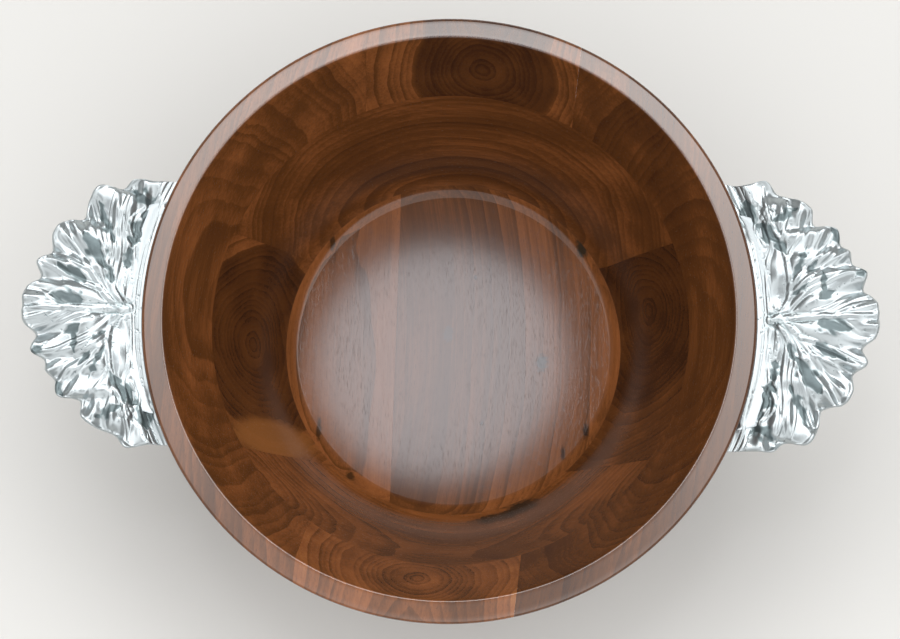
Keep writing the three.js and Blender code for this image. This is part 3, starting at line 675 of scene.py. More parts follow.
# Leaf handle, in the right handle's frame and in millimetres. Edge points give the distance out from the
# rim's radius, the place along Y and the curl up or down, as the CAD blade has them. Where three numbers
# make something uneven, they are its amount, its wavelength and its seed.
leaf = {
    "columns": 380,
    "rows": 112,
    "edgeRows": 8,
    "edgeRoundStart": 0.965,  # where the edge's half round begins, as a share of the way out
    "edgeThinnest": 0.12,
    "thickness": 3.0,
    "edgeThickness": 2.3,
    "middleDrop": 0.7,  # how far the middle of the thickness lies under the drawn form
    "gap": 0.5,
    "backWing": 69.4,
    "frontWing": 64.6,
    "collarDrop": 8.0,
    "collarWingDrop": 1.2,
    "crownDrop": 1.4,
    "wingDrop": 7.0,
    "curlPower": 1.5,
    "collarWidth": 4.6,
    "collarBlend": 0.3,
    "collarRaise": 0.8,
    "collarGrooves": ((0.35, 0.0, 0.5), (0.2, 2.2, 0.35)),  # depth, distance from its line, half width
    "veinOrigin": (6.4, 1.2),
    "riseStart": 0.08,
    "riseEnd": 0.55,
    "ribTaper": 0.5,
    "ribSteps": 40,
    "ribGroove": (0.38, 1.6, 0.42),  # depth in the rib's height, distance and half width in its half width
    "edge": [
        (-4.3, 68.9, -0.5), (4.0, 71.4, 1.2), (10.7, 65.3, -1.5), (19.9, 61.9, 0.6), (26.7, 56.9, 1.8),
        (28.2, 49.2, -1.8), (38.9, 47.0, 2.2), (41.2, 39.3, -1.2), (45.3, 34.9, 1.4), (46.9, 29.4, -1.8),
        (53.2, 25.2, 2.0), (52.5, 16.3, -1.8), (57.9, 11.1, 0.8), (59.2, 3.0, 1.6), (57.9, -7.1, 0.8),
        (51.9, -12.7, -1.8), (53.4, -21.0, 2.0), (47.2, -25.8, -1.8), (46.1, -35.1, 1.8), (42.2, -40.9, 0.6),
        (31.9, -43.9, -2.0), (29.8, -52.8, 0.8), (24.6, -60.7, 1.8), (14.1, -60.1, -1.4), (8.1, -64.5, 1.0),
        (-0.4, -64.1, -0.5),
    ],
    # Each rib or curled fold: half width and height at its root, then the points that it runs through, as
    # distance out from the rim along X and distance along Y
    "ribs": [
        (1.65, 0.90, [(6.4, 1.2), (15.6, 2), (26.6, 2.6), (37.6, 2.8), (45.6, 3.2), (52.6, 3.4),
                      (58.1, 3)]),
        (1.33, 0.74, [(8.6, 1.8), (12.9, 5.8), (15.2, 11.5), (15.8, 18), (14.9, 26), (13.6, 33),
                      (11.1, 41), (6.6, 50), (3.6, 60), (3.1, 68)]),
        (1.10, 0.64, [(15.6, 17), (19.6, 22.5), (25.1, 28.5), (30.6, 34), (35.1, 40), (37.6, 45.5)]),
        (1.10, 0.64, [(15.6, 12), (19.1, 16.5), (24.6, 22), (31.6, 27.5), (38.6, 32.5), (43.6, 34.5)]),
        (1.22, 0.69, [(14.4, 5.5), (20.1, 11.5), (26.6, 16.5), (34.1, 20), (41.6, 24), (51.6, 25.5)]),
        (1.00, 0.58, [(26.6, 4.5), (33.6, 7), (40.1, 10.5), (46.6, 14), (51.6, 16)]),
        (0.88, 0.53, [(37.6, 4), (44.1, 7.5), (50.6, 10), (56.6, 11)]),
        (1.10, 0.64, [(6.6, 4), (5.6, 12), (5.2, 21), (5.1, 30), (7.1, 38), (4.6, 47), (-0.4, 57)]),
        (0.88, 0.53, [(14.1, 31), (17.6, 38), (22.6, 46), (25.6, 54), (26.1, 58)]),
        (0.88, 0.53, [(11.1, 41), (13.6, 49), (15.6, 57), (14.6, 63)]),
        (1.33, 0.74, [(9.6, -1), (14.1, -6), (17.1, -13), (19.1, -22), (21.6, -31), (24.6, -42),
                      (27.6, -52)]),
        (1.33, 0.74, [(13.6, -0.5), (19.1, -5.5), (23.6, -12.5), (28.6, -20), (34.6, -28), (40.6, -36)]),
        (1.10, 0.64, [(21.6, -8), (29.6, -10.5), (37.6, -14), (45.6, -18), (52.6, -21)]),
        (0.88, 0.53, [(37.6, 2.5), (43.6, -1.5), (49.6, -5.5), (56.6, -7)]),
        (0.88, 0.53, [(26.6, -16.5), (34.6, -20.5), (41.6, -24), (47.1, -26)]),
        (1.22, 0.69, [(11.1, -2), (14.6, -9.5), (13.6, -19), (12.6, -28), (13.1, -38), (12.1, -50),
                      (8.6, -61)]),
        (1.00, 0.58, [(7.1, -3), (6.6, -11), (5.6, -20.5), (6.1, -29), (4.6, -38), (0.6, -48),
                      (-4.4, -57)]),
        (0.88, 0.53, [(18.6, -20), (17.1, -29), (18.6, -38), (18.6, -48), (16.6, -58)]),
        (1.00, 0.53, [(7.1, 55), (5.1, 49), (6.1, 43), (9.6, 41)]),
        (1.00, 0.53, [(3.1, 56), (1.1, 49.5), (1.6, 43), (4.1, 38)]),
        (1.00, 0.53, [(6.4, -33), (8.4, -39), (6.6, -46), (2.6, -50)]),
        (1.00, 0.53, [(3.1, -36), (4.6, -40), (3.1, -44), (0.6, -46.5)]),
    ],
    # Hollows that the polishing wheel can't reach, sunk in, left duller and given painted shade: distance
    # out from the rim, place along Y, half length, half width, and the angle of the long way from X in
    # degrees
    "hollows": [
        (-4.3, 53.9, 8.0, 4.1, 99), (5.0, 44.6, 7.1, 4.3, 138), (13.7, 53.9, 6.7, 2.6, 28),
        (11.3, 38.5, 5.5, 2.6, 120), (20.8, 29.7, 9.3, 1.7, 68), (26.7, 27.6, 4.3, 1.5, 53),
        (20.8, 16.1, 4.3, 1.4, 35), (33.6, 13.3, 4.8, 2.6, 31), (32.4, 19.5, 6.1, 1.7, 96),
        (49.9, 24.2, 3.5, 2.6, 33), (38.0, 43.4, 4.7, 2.1, 117), (36.6, -2.3, 9.4, 4.0, 173),
        (33.0, -14.3, 6.2, 3.5, 139), (39.5, -16.7, 4.9, 1.9, 135), (24.3, -26.9, 9.9, 4.4, 118),
        (17.4, -15.2, 6.4, 1.9, 114), (8.6, -24.2, 5.4, 2.4, 84), (3.6, -39.3, 10.2, 5.0, 70),
        (2.6, -54.6, 6.9, 4.1, 139), (20.2, -41.9, 11.5, 2.3, 114), (28.3, -30.4, 6.3, 2.3, 112),
    ],
    "hollowDepth": 0.45,
    "hollowEnd": 1.1,
    "hollowEdge": (0.2, 1.25),  # where its depth begins to fade and is gone, in its half width
    "hollowRagged": (0.25, 5, 21),
    "bulge": 1.1,  # how far the cells swell between ribs
    "bulgeReach": 3.6,
    "bulgeUnder": 0.9,  # how much of the swell the underside follows
    "dimples": ((0.45, 26, 14), (0.16, 11, 11)),
    "dimpleFull": 12.0,  # millimetres out from the rim
    "ruffle": 0.8,
    "ruffleSpacing": 6.5,
    "ruffleRadius": 46.0,
    "ruffleStart": (0.66, 0.97),  # where ruffles begin and are full, as a share of the way out
    "ruffleMean": 0.7,
    "ruffleChange": (0.25, 26, 8),
    "ruffleSlide": (0.8, 34, 5),
    "notchCurl": -1.0,  # a notch runs in from each edge point that curls down past this
    "notchLength": 15.0,
    "notchDepth": 1.0,
    "notchWidth": 1.7,
    "notchTaper": 0.4,
    "bead": 0.55,
    "beadInset": 1.2,
    "beadWidth": 1.1,
    # How dark and dull the casting is, painted shade and unpolished metal together: plain top, hollows, less
    # on ribs, grooves, collar grooves, and the underside
    "shadeAndDullness": {"plain": 0.15, "hollow": 1.1, "rib": 0.8, "groove": 1.6, "collar": 0.9, "under": 0.3},
}


# Distance from every grid point to a polyline, and how far along it the nearest place lies, from 0 to 1
def distanceTo(line, x, y):
    best = np.full(x.shape, farAway)
    along = np.zeros(x.shape)
    for i, (a, b) in enumerate(zip(line[:-1], line[1:])):
        span = b - a
        t = np.clip(((x - a[0]) * span[0] + (y - a[1]) * span[1]) / (span @ span), 0, 1)
        away = np.hypot(x - a[0] - t * span[0], y - a[1] - t * span[1])
        along = np.where(away < best, (i + t) / (len(line) - 1), along)
        best = np.minimum(away, best)
    return best, along


# From 0 at low to 1 at high, as 3t^2 - 2t^3
def smoothStep(value, low, high):
    t = np.clip((value - low) / (high - low), 0, 1)
    return t * t * (3 - 2 * t)


# Gentle unevenness of a hand-finished casting: a sum of sine waves with seeded directions and lengths, over
# its usual size, which is the root of half their number
def unevenness(x, y, amount, wavelength, seed, waves=10):
    dice = np.random.default_rng(seed)
    total = np.zeros(x.shape)
    for _ in range(waves):
        angle, phase = dice.uniform(0, 2 * np.pi, 2)
        scale = 2 * np.pi / (wavelength * dice.uniform(0.7, 1.5))
        total += np.sin(scale * (x * np.cos(angle) + y * np.sin(angle)) + phase)
    return amount * (total / math.sqrt(waves / 2))


# The blade: rows run from an arc beside the rim to the lobed edge. Its height is base + bulge + ribs +
# ruffles, where a rib is height exp(-(distance / half width)^2), and the top and underside part by the
# thickness, which closes in a half round at the edge.
def leafBlade(facts):
    rim = bowl["rimRadius"]
    inner = rim + facts["gap"]
    columns = facts["columns"]
    edge = smoothLine([(rim + out, y, curl) for out, y, curl in facts["edge"]], columns + 1)
    turnBack = np.linspace(0, 1, columns + 1)
    sweep = math.asin(facts["backWing"] / inner) * (1 - turnBack)
    sweep -= math.asin(facts["frontWing"] / inner) * turnBack
    roundStart = facts["edgeRoundStart"]
    rows = np.linspace(0, roundStart, facts["rows"])
    close = np.linspace(0, np.pi / 2, facts["edgeRows"] + 1)[1:]
    s = np.concatenate([rows, roundStart + (1 - roundStart) * np.sin(close)])[:, None]
    closing = np.maximum(np.cos(close), facts["edgeThinnest"])
    roundOff = np.concatenate([np.ones(facts["rows"]), closing])[:, None]
    x = (1 - s) * inner * np.cos(sweep) + s * edge[:, 0]
    y = (1 - s) * inner * np.sin(sweep) + s * edge[:, 1]
    wing = (1 - 2 * turnBack)[None, :]
    collar = facts["collarDrop"] + facts["collarWingDrop"] * wing ** 2
    crown = facts["crownDrop"] + facts["wingDrop"] * wing ** 2
    rise = smoothStep(s, facts["riseStart"], facts["riseEnd"])
    base = bowl["rimTop"] - collar * (1 - rise) - crown * rise + edge[:, 2] * s ** facts["curlPower"]

    # Ribs, with a groove beside each
    ribs = np.zeros(x.shape)
    grooves = np.zeros(x.shape)
    nearest = np.full(x.shape, farAway)
    grooveDepth, grooveAway, grooveWidth = facts["ribGroove"]
    for width, height, points in facts["ribs"]:
        away, along = distanceTo(smoothLine(points, facts["ribSteps"]) + [rim, 0], x, y)
        wide = width * (1 - facts["ribTaper"] * along)
        tall = height * (1 - facts["ribTaper"] * along)
        ribs = np.maximum(ribs, tall * np.exp(-(away / wide) ** 2))
        beside = (away - grooveAway * wide) / (grooveWidth * wide)
        grooves = np.maximum(grooves, grooveDepth * tall * np.exp(-beside ** 2))
        nearest = np.minimum(nearest, away)

    # The collar beside the rim, and the cells that swell between it and the ribs
    fromRim = np.hypot(x, y) - rim
    collarEdge = facts["collarWidth"]
    blend = facts["collarBlend"]
    collarLine = np.abs(fromRim - collarEdge)
    nearest = np.minimum(nearest, np.where(fromRim > collarEdge, collarLine, farAway))
    inCells = smoothStep(fromRim, collarEdge - blend, collarEdge + blend)
    bulge = facts["bulge"] * (1 - np.exp(-(nearest / facts["bulgeReach"]) ** 2)) * inCells
    collarStrip = facts["collarRaise"] * np.clip(1 - fromRim / collarEdge, 0, 1)
    collarGroove = sum(
        deep * np.exp(-((collarLine - away) / wide) ** 2) for deep, away, wide in facts["collarGrooves"])

    # Ruffles round the edge, and notches that run in from its dips
    origin = np.array(facts["veinOrigin"]) + [rim, 0]
    originX, originY = origin
    angle = np.arctan2(y - originY, x - originX)
    outward = np.hypot(x - originX, y - originY)
    edgeWay = outward / np.maximum(np.hypot(edge[:, 0] - originX, edge[:, 1] - originY), 1)[None, :]
    waves = 2 * np.pi * facts["ruffleRadius"] / facts["ruffleSpacing"]
    slide = unevenness(x, y, *facts["ruffleSlide"])
    near = smoothStep(edgeWay, *facts["ruffleStart"])
    tall = facts["ruffleMean"] + unevenness(x, y, *facts["ruffleChange"])
    ruffle = facts["ruffle"] * near * np.sin(angle * waves + slide) * tall
    notches = np.zeros(x.shape)
    for out, y0, curl in facts["edge"]:
        if curl < facts["notchCurl"]:
            tip = np.array([rim + out, y0])
            inward = origin - tip
            root = tip + inward * facts["notchLength"] / np.linalg.norm(inward)
            away, along = distanceTo(np.array([tip, root]), x, y)
            wide = facts["notchWidth"] * (1 - facts["notchTaper"] * along)
            notches = np.maximum(notches, facts["notchDepth"] * (1 - along) * np.exp(-(away / wide) ** 2))

    # Dimples all over, lens-shaped hollows with ragged edges, and a bead along the edge
    dimple = sum(unevenness(x, y, *wave) for wave in facts["dimples"])
    dimple = dimple * smoothStep(fromRim, collarEdge, facts["dimpleFull"])
    sunk = np.zeros(x.shape)
    ragged = unevenness(x, y, *facts["hollowRagged"])
    for out, y0, long, wide, degrees in facts["hollows"]:
        turn = math.radians(degrees)
        lengthwise = ((x - rim - out) * math.cos(turn) + (y - y0) * math.sin(turn)) / long
        sideways = ((y - y0) * math.cos(turn) - (x - rim - out) * math.sin(turn)) / wide
        lens = np.abs(sideways) / np.maximum(facts["hollowEnd"] - lengthwise ** 2, 0.01) + ragged
        sunk = np.maximum(sunk, 1 - smoothStep(lens, *facts["hollowEdge"]))
    fromEdge = (1 - s) * np.hypot(edge[:, 0] - inner * np.cos(sweep), edge[:, 1] - inner * np.sin(sweep))
    bead = facts["bead"] * np.exp(-((fromEdge - facts["beadInset"]) / facts["beadWidth"]) ** 2)

    under = facts["bulgeUnder"]
    form = base + under * bulge + ruffle + dimple - notches - facts["middleDrop"]
    top = form + (1 - under) * bulge + ribs - grooves + collarStrip - collarGroove + bead
    top -= facts["hollowDepth"] * sunk
    half = (facts["thickness"] * (1 - s) + facts["edgeThickness"] * s) / 2 * roundOff
    # Painted shade: darker in the hollows, the grooves and the collar's grooves, less on the ribs, over a
    # plain tone
    dark = facts["shadeAndDullness"]
    inHollow = sunk * (dark["hollow"] - dark["rib"] * ribs)
    shade = dark["plain"] + inHollow + grooves * dark["groove"] + collarGroove * dark["collar"]
    return x, y, top + half, form - half, np.clip(shade, 0, 1)


# The two sides of the blade closed round their border: top rows, underside rows and a strip between them
def leafFaces(rowCount, columnCount):
    index = np.arange(rowCount * columnCount).reshape(rowCount, columnCount)
    under = index + rowCount * columnCount
    a, b, c, d = index[:-1, :-1], index[:-1, 1:], index[1:, 1:], index[1:, :-1]
    topFaces = np.stack([a, b, c, d], axis=-1).reshape(-1, 4)
    a, b, c, d = under[:-1, :-1], under[1:, :-1], under[1:, 1:], under[:-1, 1:]
    underFaces = np.stack([a, b, c, d], axis=-1).reshape(-1, 4)
    border = np.concatenate([index[0, :-1], index[:-1, -1], index[-1, :0:-1], index[:0:-1, 0]])
    nextOn = np.roll(border, -1)
    drop = rowCount * columnCount
    sides = np.stack([border, border + drop, nextOn + drop, nextOn], axis=-1)
    return np.vstack([topFaces, underFaces, sides])


# Flange: a strip that follows the wall under the rim, with rounded lower corners and a root that swells
# out to the blade
flange = {
    "width": 104.0,
    "height": 25.0,
    "overlap": 0.6,  # how far it reaches up into the blade
    "wallInset": 6.0,  # how far in from the rim's radius the wall lies there
    "corner": 9.0,
    "thickness": 3.0,
    "gap": 0.3,
    "rootHeight": 9.0,
    "rootReach": 7.0,
    "rootPower": 2.2,
    "rootEnd": 6.0,  # the root dies away over this length at each end
    "edgeRound": 1.5,
    "edgeThinnest": 0.02,
    "edgeStart": 0.05,
    "crowding": 1.15,  # brings the columns closer together towards the ends
    "columns": 120,
    "rows": 22,
    # Painted shade on the flange, which lies under the blade
    "shadeAndDullness": 0.25,
}


# Lines up the wall, one for each sweep angle. The outside stands out by thickness + reach lift^power, where
# lift goes from 0 to 1 up the root, times the root of the distance to the end or the lower edge.
def flangeMesh(facts):
    half = facts["width"] / 2
    top = bowl["rimTop"] - leaf["collarDrop"] + facts["overlap"]
    bottom = top - facts["overlap"] - facts["height"]
    seat = bowl["rimRadius"] - facts["wallInset"]
    reach = math.asin(half / seat)
    spread = np.linspace(-np.pi / 2, np.pi / 2, facts["columns"] + 1)
    sweep = reach * np.sign(spread) * (1 - (1 - np.abs(np.sin(spread))) ** facts["crowding"])
    offside = np.clip(np.abs(seat * np.sin(sweep)) - (half - facts["corner"]), 0, facts["corner"])
    low = bottom + facts["corner"] - np.sqrt(facts["corner"] ** 2 - offside ** 2)
    z = low[:, None] + (top - low)[:, None] * np.linspace(0, 1, facts["rows"] + 1)[None, :]
    wall = through(outsideLine, z) + facts["gap"]
    rootStart = top - facts["rootHeight"]
    lift = np.clip((z - rootStart) / facts["rootHeight"], 0, 1)
    swell = facts["rootReach"] * lift ** facts["rootPower"]
    fromEnd = half - np.abs(seat * np.sin(sweep))[:, None]
    fromLow = z - low[:, None] + facts["edgeStart"]
    easing = [np.clip(away / facts["edgeRound"], facts["edgeThinnest"], 1) for away in (fromEnd, fromLow)]
    easing = np.minimum(np.sqrt(easing[0]), np.sqrt(easing[1]))
    outer = wall + (facts["thickness"] + swell * smoothStep(fromEnd, 0, facts["rootEnd"])) * easing
    turnX = np.cos(sweep)[:, None]
    turnY = np.sin(sweep)[:, None]
    front = np.stack([outer * turnX, outer * turnY, z], axis=-1).reshape(-1, 3)
    back = np.stack([wall * turnX, wall * turnY, z], axis=-1).reshape(-1, 3)
    return np.vstack([back, front]), leafFaces(facts["columns"] + 1, facts["rows"] + 1)


# The casting's shine, with scales for each millimetre: clouds about 6 mm wide, and sand grains drawn 0.7 mm
# wide, as coarse as they need to show
casting = {
    "cloudScale": 0.16,
    "cloudAmount": 0.7,
    "sandScale": 1.4,
    "dirtAndShadeLevels": (0.3, 1.0),
    "shades": [(0.0, "#b5bcbe"), (1.0, "#6a7577"), (0.5, "#96a1a3")],
    "roughness": (0.32, 0.48),
    "bumpStrength": 0.12,
    "bumpDistance": 0.0003,  # metres
}


# Cast aluminium, sand cast, filed and polished by hand: bright on the ribs and swells, and duller where
# the wheel can't reach in the grooves and hollows, which also carry painted shade, as does the underside
def polishedCasting(facts):
    material, tree, output = newMaterial("polished_cast_aluminium")
    place = addNode(tree, "TexCoord").outputs["Object"]
    place = addNode(tree, "VectorMath", {0: place, "Scale": 1 / millimetre}, operation="SCALE")
    hollow = addNode(tree, "Attribute", attribute_name="hollow").outputs["Fac"]
    cloud = addNode(tree, "TexNoise", {"Vector": place, "Scale": facts["cloudScale"], "Detail": 3})
    sand = addNode(tree, "TexNoise", {"Vector": place, "Scale": facts["sandScale"], "Detail": 3})
    # Random clouds of dirt, added to the painted shade that the hollow attribute carries
    amount = facts["cloudAmount"]
    dirtAndShade = addNode(tree, "Math", {0: cloud, 1: amount, 2: -amount / 2}, operation="MULTIPLY_ADD")
    dirtAndShade = addNode(tree, "Math", {0: hollow, 1: dirtAndShade}, operation="ADD")
    lightEnd, darkEnd = facts["dirtAndShadeLevels"]
    dirtAndShade = addNode(tree, "MapRange", {0: dirtAndShade, 1: lightEnd, 2: darkEnd}, interpolation_type="SMOOTHSTEP")
    shade = addNode(tree, "ValToRGB", {0: dirtAndShade}, stops=facts["shades"])
    smooth, dull = facts["roughness"]
    gloss = addNode(tree, "MapRange", {0: dirtAndShade, 3: smooth, 4: dull})
    bump = addNode(
        tree, "Bump",
        {"Height": sand, "Strength": facts["bumpStrength"], "Distance": facts["bumpDistance"]})
    shader = addNode(tree, "BsdfPrincipled", {
        "Base Color": shade, "Metallic": 1.0, "Roughness": gloss, "Normal": bump})
    tree.links.new(shader.outputs[0], output.inputs[0])
    return material


# Half a turn about Z: x and y change sign
def turnHalf(points):
    return points * np.array([-1, -1, 1])


# Blade and flange in one casting for the right, and the same casting turned half a turn for the left. Its
# attribute, hollow, is how dark and dull each point is: painted shade in the hollows, grooves and
# underneath.
def makeHandles(material):
    x, y, top, under, hollow = leafBlade(leaf)
    blade = np.vstack([np.stack([x, y, side], axis=-1).reshape(-1, 3) for side in (top, under)])
    bladeFaces = leafFaces(*x.shape)
    strap, strapFaces = flangeMesh(flange)
    points = np.vstack([blade, strap])
    faces = np.vstack([bladeFaces, strapFaces + len(blade)])
    # Painted shade: the underside and the flange darker than the blade's plain top
    dark = np.concatenate([
        hollow.ravel(),
        np.full(hollow.size, leaf["shadeAndDullness"]["under"]),
        np.full(len(strap), flange["shadeAndDullness"]),
    ])
    for side, placed in (("right", points), ("left", turnHalf(points))):
        piece = makePiece("leaf_handle_" + side + "_cast", placed, faces, material, sharp=80)
        values = piece.data.attributes.new("hollow", "FLOAT", "POINT").data
        values.foreach_set("value", dark.astype(np.float32))
        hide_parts("leaf_handle_" + side)
        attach(piece, "root")


makeHandles(polishedCasting(casting))
print("leaf handles made")


# Wood screws: a domed head with a crossed drive, and a threaded shank hidden in the flange and the wall
screwFacts = {
    "spacing": 66.0,
    "drop": 22.0,
    "shank": 1.8,
    "head": 3.6,
    "headHeight": 2.2,
    "bite": 8.0,
    "point": 2.5,
    "tip": 0.04,  # radius of the point's end, as a share of the shank's
    "driveWidth": 0.9,
    "driveLength": 4.2,
    "driveDepth": 1.2,
    "driveStart": 0.05,  # only points higher than this are cut by the drive
    "pitch": 1.3,
    "thread": 0.35,
    "plainLength": 1.0,
    "plainTip": 0.2,
    "sides": 72,
    "steps": (30, 60, 12),  # down the head, the shank and the point
}


# Head and shank as one turned skin: a quarter ellipse, a straight line and a cone. The thread cuts in by a
# zigzag of height / pitch + angle / turn, and the drive flattens the head where |x| or |y| is small.
def screwMesh(facts):
    end = flange["gap"] + flange["thickness"] + facts["bite"]
    headSteps, shankSteps, pointSteps = facts["steps"]
    crown = np.linspace(0, np.pi / 2, headSteps)
    head = np.stack([facts["head"] * np.sin(crown), facts["headHeight"] * np.cos(crown)], axis=1)
    head[-1, 1] = 0
    shankZ = np.linspace(0, -end + facts["point"], shankSteps)
    shank = np.stack([np.full(shankSteps, facts["shank"]), shankZ], axis=1)
    pointRadius = facts["shank"] * np.linspace(1, facts["tip"], pointSteps)
    pointZ = np.linspace(-end + facts["point"], -end, pointSteps)
    cone = np.stack([pointRadius, pointZ], axis=1)[1:]
    profile = np.vstack([head, shank, cone])
    angle = np.arange(facts["sides"]) * 2 * np.pi / facts["sides"]
    r = profile[:, 0][:, None] + 0 * angle
    z = profile[:, 1][:, None] + 0 * angle
    wave = np.abs(((z / facts["pitch"] + angle / (2 * np.pi)) % 1) * 2 - 1)
    threaded = (z < -facts["plainLength"]) & (r > facts["plainTip"])
    r = r + np.where(threaded, facts["thread"] * (wave - 1) * np.clip(r / facts["shank"], 0, 1), 0)
    x = r * np.cos(angle)
    y = r * np.sin(angle)
    inHead = z > facts["driveStart"]
    halfWidth = facts["driveWidth"] / 2
    halfLength = facts["driveLength"] / 2
    longWay = (np.abs(x) < halfLength) & (np.abs(y) < halfWidth)
    wideWay = (np.abs(y) < halfLength) & (np.abs(x) < halfWidth)
    z = np.where(inHead & (longWay | wideWay), np.minimum(z, facts["headHeight"] - facts["driveDepth"]), z)
    points = np.stack([x, y, z], axis=-1).reshape(-1, 3)
    rows, sides = r.shape
    index = np.arange(rows * sides).reshape(rows, sides)
    around = np.roll(index, -1, axis=1)
    faces = np.stack([index[:-1], index[1:], around[1:], around[:-1]], axis=-1).reshape(-1, 4)
    return points, faces


# The plating's shine, with spots about 1 mm wide
plating = {
    "spotScale": 1.1,
    "shades": [(0.3, "#8f9295"), (0.7, "#b4b7b9")],
    "roughness": (0.28, 0.44),
    "bumpStrength": 0.08,
    "bumpDistance": 0.0001,  # metres
}


# Zinc-plated steel: a thin grey plating, slightly spotted, that dulls the steel's shine
def platedSteel(facts):
    material, tree, output = newMaterial("zinc_plated_steel")
    place = addNode(tree, "TexCoord").outputs["Object"]
    place = addNode(tree, "VectorMath", {0: place, "Scale": 1 / millimetre}, operation="SCALE")
    spots = addNode(tree, "TexNoise", {"Vector": place, "Scale": facts["spotScale"], "Detail": 4})
    shade = addNode(tree, "ValToRGB", {0: spots}, stops=facts["shades"])
    smooth, dull = facts["roughness"]
    gloss = addNode(tree, "MapRange", {0: spots, 3: smooth, 4: dull})
    bump = addNode(
        tree, "Bump",
        {"Height": spots, "Strength": facts["bumpStrength"], "Distance": facts["bumpDistance"]})
    shader = addNode(tree, "BsdfPrincipled", {
        "Base Color": shade, "Metallic": 1.0, "Roughness": gloss, "Normal": bump})
    tree.links.new(shader.outputs[0], output.inputs[0])
    return material


# Each screw stands square on the flange's face, where the wall leans by the angle whose tangent is its fall
# over the flange's height, and at the sweep whose sine is half the spacing over the rim's radius
def makeScrews(facts, material):
    points, faces = screwMesh(facts)
    height = bowl["rimTop"] - facts["drop"]
    rise = flange["height"] / 2
    above = through(outsideLine, height + rise)
    below = through(outsideLine, height - rise)
    tilt = math.pi / 2 + math.atan((above - below) / flange["height"])
    seat = through(outsideLine, height) + flange["gap"] + flange["thickness"]
    sweep = math.asin(facts["spacing"] / 2 / bowl["rimRadius"])
    for side, facing in (("right", 0), ("left", math.pi)):
        for place, along in (("front", -sweep), ("back", sweep)):
            angle = facing + (along if side == "right" else -along)
            move = (Matrix.Rotation(angle, 4, "Z") @ Matrix.Translation((seat, 0, height))
                    @ Matrix.Rotation(tilt, 4, "Y"))
            move = np.array(move)
            placed = points @ move[:3, :3].T + move[:3, 3]
            name = "handle_screw_" + side + "_" + place
            piece = makePiece(name + "_steel", placed, faces, material)
            work = bmesh.new()
            work.from_mesh(piece.data)
            bmesh.ops.remove_doubles(work, verts=work.verts, dist=mergeDistance)
            bmesh.ops.holes_fill(work, edges=[edge for edge in work.edges if edge.is_boundary], sides=0)
            bmesh.ops.recalc_face_normals(work, faces=work.faces)
            work.to_mesh(piece.data)
            work.free()
            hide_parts(name)
            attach(piece, "root")


makeScrews(screwFacts, platedSteel(plating))
print("screws made")


# Studio: a pale floor, a soft box overhead whose reflection lies on the bowl's floor, and a dim room that is
# pale near the horizon and brighter in a band about 40 degrees from straight up, strongest towards the back
studio = {
    "floorSize": 6.0,
    "floorShade": "#cfcecb",
    "floorRoughness": 0.9,
    "boxSize": (0.262, 0.243),  # across and front to back
    "boxShade": "#f0f1f6",
    "boxPlace": (-0.059, 0.257, 1.6),
    "boxAim": (0, 0, 0.02),
    "boxGlow": 6.6,  # radiance, where 1 lights white paper to white
}

# The room, by directions of length 1. An edge is where a glow starts and where it is full.
room = {
    "dimGlow": 0.19,
    "ovalShift": (0.03, 0, 0),  # an oval round straight up stays dim
    "ovalHalfSize": (0.15, 0.29),
    "ovalEdge": (0.95, 1.2),
    "ovalGlow": 0.45,
    "ringEdge": (0.93, 0.87),  # heights
    "ringGlow": 0.55,
    "bandEnd": (0.60, 0.72),
    "bandEndTip": 0.35,  # how much lower the band ends in front
    "gain": 2.0,
    "gainToBack": 3.2,
    "leastGain": 1.2,
    "gainToRight": 0.5,
    "gainToSides": 0.4,
    "horizonShade": "#efeeeb",
    "horizonEdge": (0.22, 0.14),  # heights
}


# One square at height 0
def makeFloor(facts):
    half = facts["floorSize"] / 2
    mesh = bpy.data.meshes.new("studio_floor")
    corners = [(-half, -half, 0), (half, -half, 0), (half, half, 0), (-half, half, 0)]
    mesh.from_pydata(corners, [], [(0, 1, 2, 3)])
    floor = bpy.data.objects.new("studio_floor", mesh)
    scene.collection.objects.link(floor)
    material, tree, output = newMaterial("matt_paper")
    shader = addNode(tree, "BsdfPrincipled", {
        "Base Color": colour(facts["floorShade"]), "Roughness": facts["floorRoughness"]})
    tree.links.new(shader.outputs[0], output.inputs[0])
    mesh.materials.append(material)


# An oval lamp. Blender gives one of radiance L and area A the power 4 L A, and A is pi / 4 times its sizes.
def makeSoftBox(facts):
    data = bpy.data.lights.new("soft_box", "AREA")
    data.shape = "ELLIPSE"
    data.size, data.size_y = facts["boxSize"]
    data.color = colour(facts["boxShade"])[:3]
    data.energy = math.pi * facts["boxGlow"] * data.size * data.size_y
    lamp = bpy.data.objects.new("soft_box", data)
    lamp.location = facts["boxPlace"]
    aim = Vector(facts["boxAim"]) - lamp.location
    lamp.rotation_euler = aim.to_track_quat("-Z", "Y").to_euler()
    lamp.visible_camera = False
    scene.collection.objects.link(lamp)


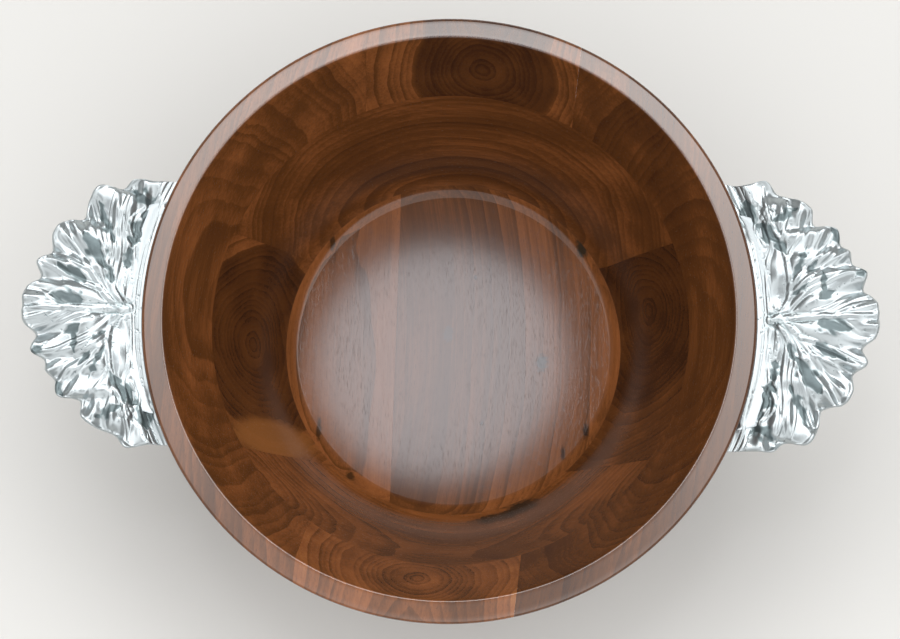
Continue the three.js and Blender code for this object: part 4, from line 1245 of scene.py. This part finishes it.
# Light from each direction: dim + (oval + ring) end (gain + to back y + to right x + to sides |x|), where
# oval, ring and end are smooth steps, mixed into the pale shade near the horizon
def makeRoom(facts):
    world = bpy.data.worlds.new("studio_room")
    world.use_nodes = True
    scene.world = world
    tree = world.node_tree
    tree.nodes.clear()
    direction = addNode(tree, "TexCoord").outputs["Generated"]
    apart = addNode(tree, "SeparateXYZ", {0: direction})
    toRight, toBack, toTop = apart.outputs

    shifted = addNode(tree, "VectorMath", {0: direction, 1: facts["ovalShift"]}, operation="ADD")
    halfAcross, halfAlong = facts["ovalHalfSize"]
    oval = addNode(
        tree, "VectorMath", {0: shifted, 1: (1 / halfAcross, 1 / halfAlong, 0)}, operation="MULTIPLY")
    oval = addNode(tree, "VectorMath", {0: oval}, operation="LENGTH")
    start, full = facts["ovalEdge"]
    inner = addNode(
        tree, "MapRange", {0: oval, 1: start, 2: full, 4: facts["ovalGlow"]},
        interpolation_type="SMOOTHSTEP")
    start, full = facts["ringEdge"]
    outer = addNode(
        tree, "MapRange", {0: toTop, 1: start, 2: full, 4: facts["ringGlow"]},
        interpolation_type="SMOOTHSTEP")
    rising = addNode(tree, "Math", {0: inner, 1: outer}, operation="ADD")
    frontward = addNode(tree, "Math", {0: toBack, 1: 0.0}, operation="MINIMUM")
    tipped = addNode(
        tree, "Math", {0: frontward, 1: -facts["bandEndTip"], 2: toTop}, operation="MULTIPLY_ADD")
    start, full = facts["bandEnd"]
    falling = addNode(tree, "MapRange", {0: tipped, 1: start, 2: full}, interpolation_type="SMOOTHSTEP")
    band = addNode(tree, "Math", {0: rising, 1: falling}, operation="MULTIPLY")

    gain = addNode(
        tree, "Math", {0: toBack, 1: facts["gainToBack"], 2: facts["gain"]}, operation="MULTIPLY_ADD")
    gain = addNode(tree, "Math", {0: gain, 1: facts["leastGain"]}, operation="MAXIMUM")
    gain = addNode(tree, "Math", {0: toRight, 1: facts["gainToRight"], 2: gain}, operation="MULTIPLY_ADD")
    sideward = addNode(tree, "Math", {0: toRight}, operation="ABSOLUTE")
    gain = addNode(tree, "Math", {0: sideward, 1: facts["gainToSides"], 2: gain}, operation="MULTIPLY_ADD")
    level = addNode(tree, "Math", {0: band, 1: gain, 2: facts["dimGlow"]}, operation="MULTIPLY_ADD")

    background = addNode(tree, "Background", {"Color": colour("#ffffff"), "Strength": level})
    pale = addNode(tree, "Background", {"Color": colour(facts["horizonShade"]), "Strength": 1.0})
    start, full = facts["horizonEdge"]
    horizon = addNode(tree, "MapRange", {0: toTop, 1: start, 2: full}, interpolation_type="SMOOTHSTEP")
    mixed = addNode(tree, "MixShader", {0: horizon, 1: background, 2: pale})
    output = addNode(tree, "OutputWorld", {0: mixed})
    output.is_active_output = True


makeFloor(studio)
makeSoftBox(studio)
makeRoom(room)
scene.view_settings.view_transform = "Standard"
print("studio set")
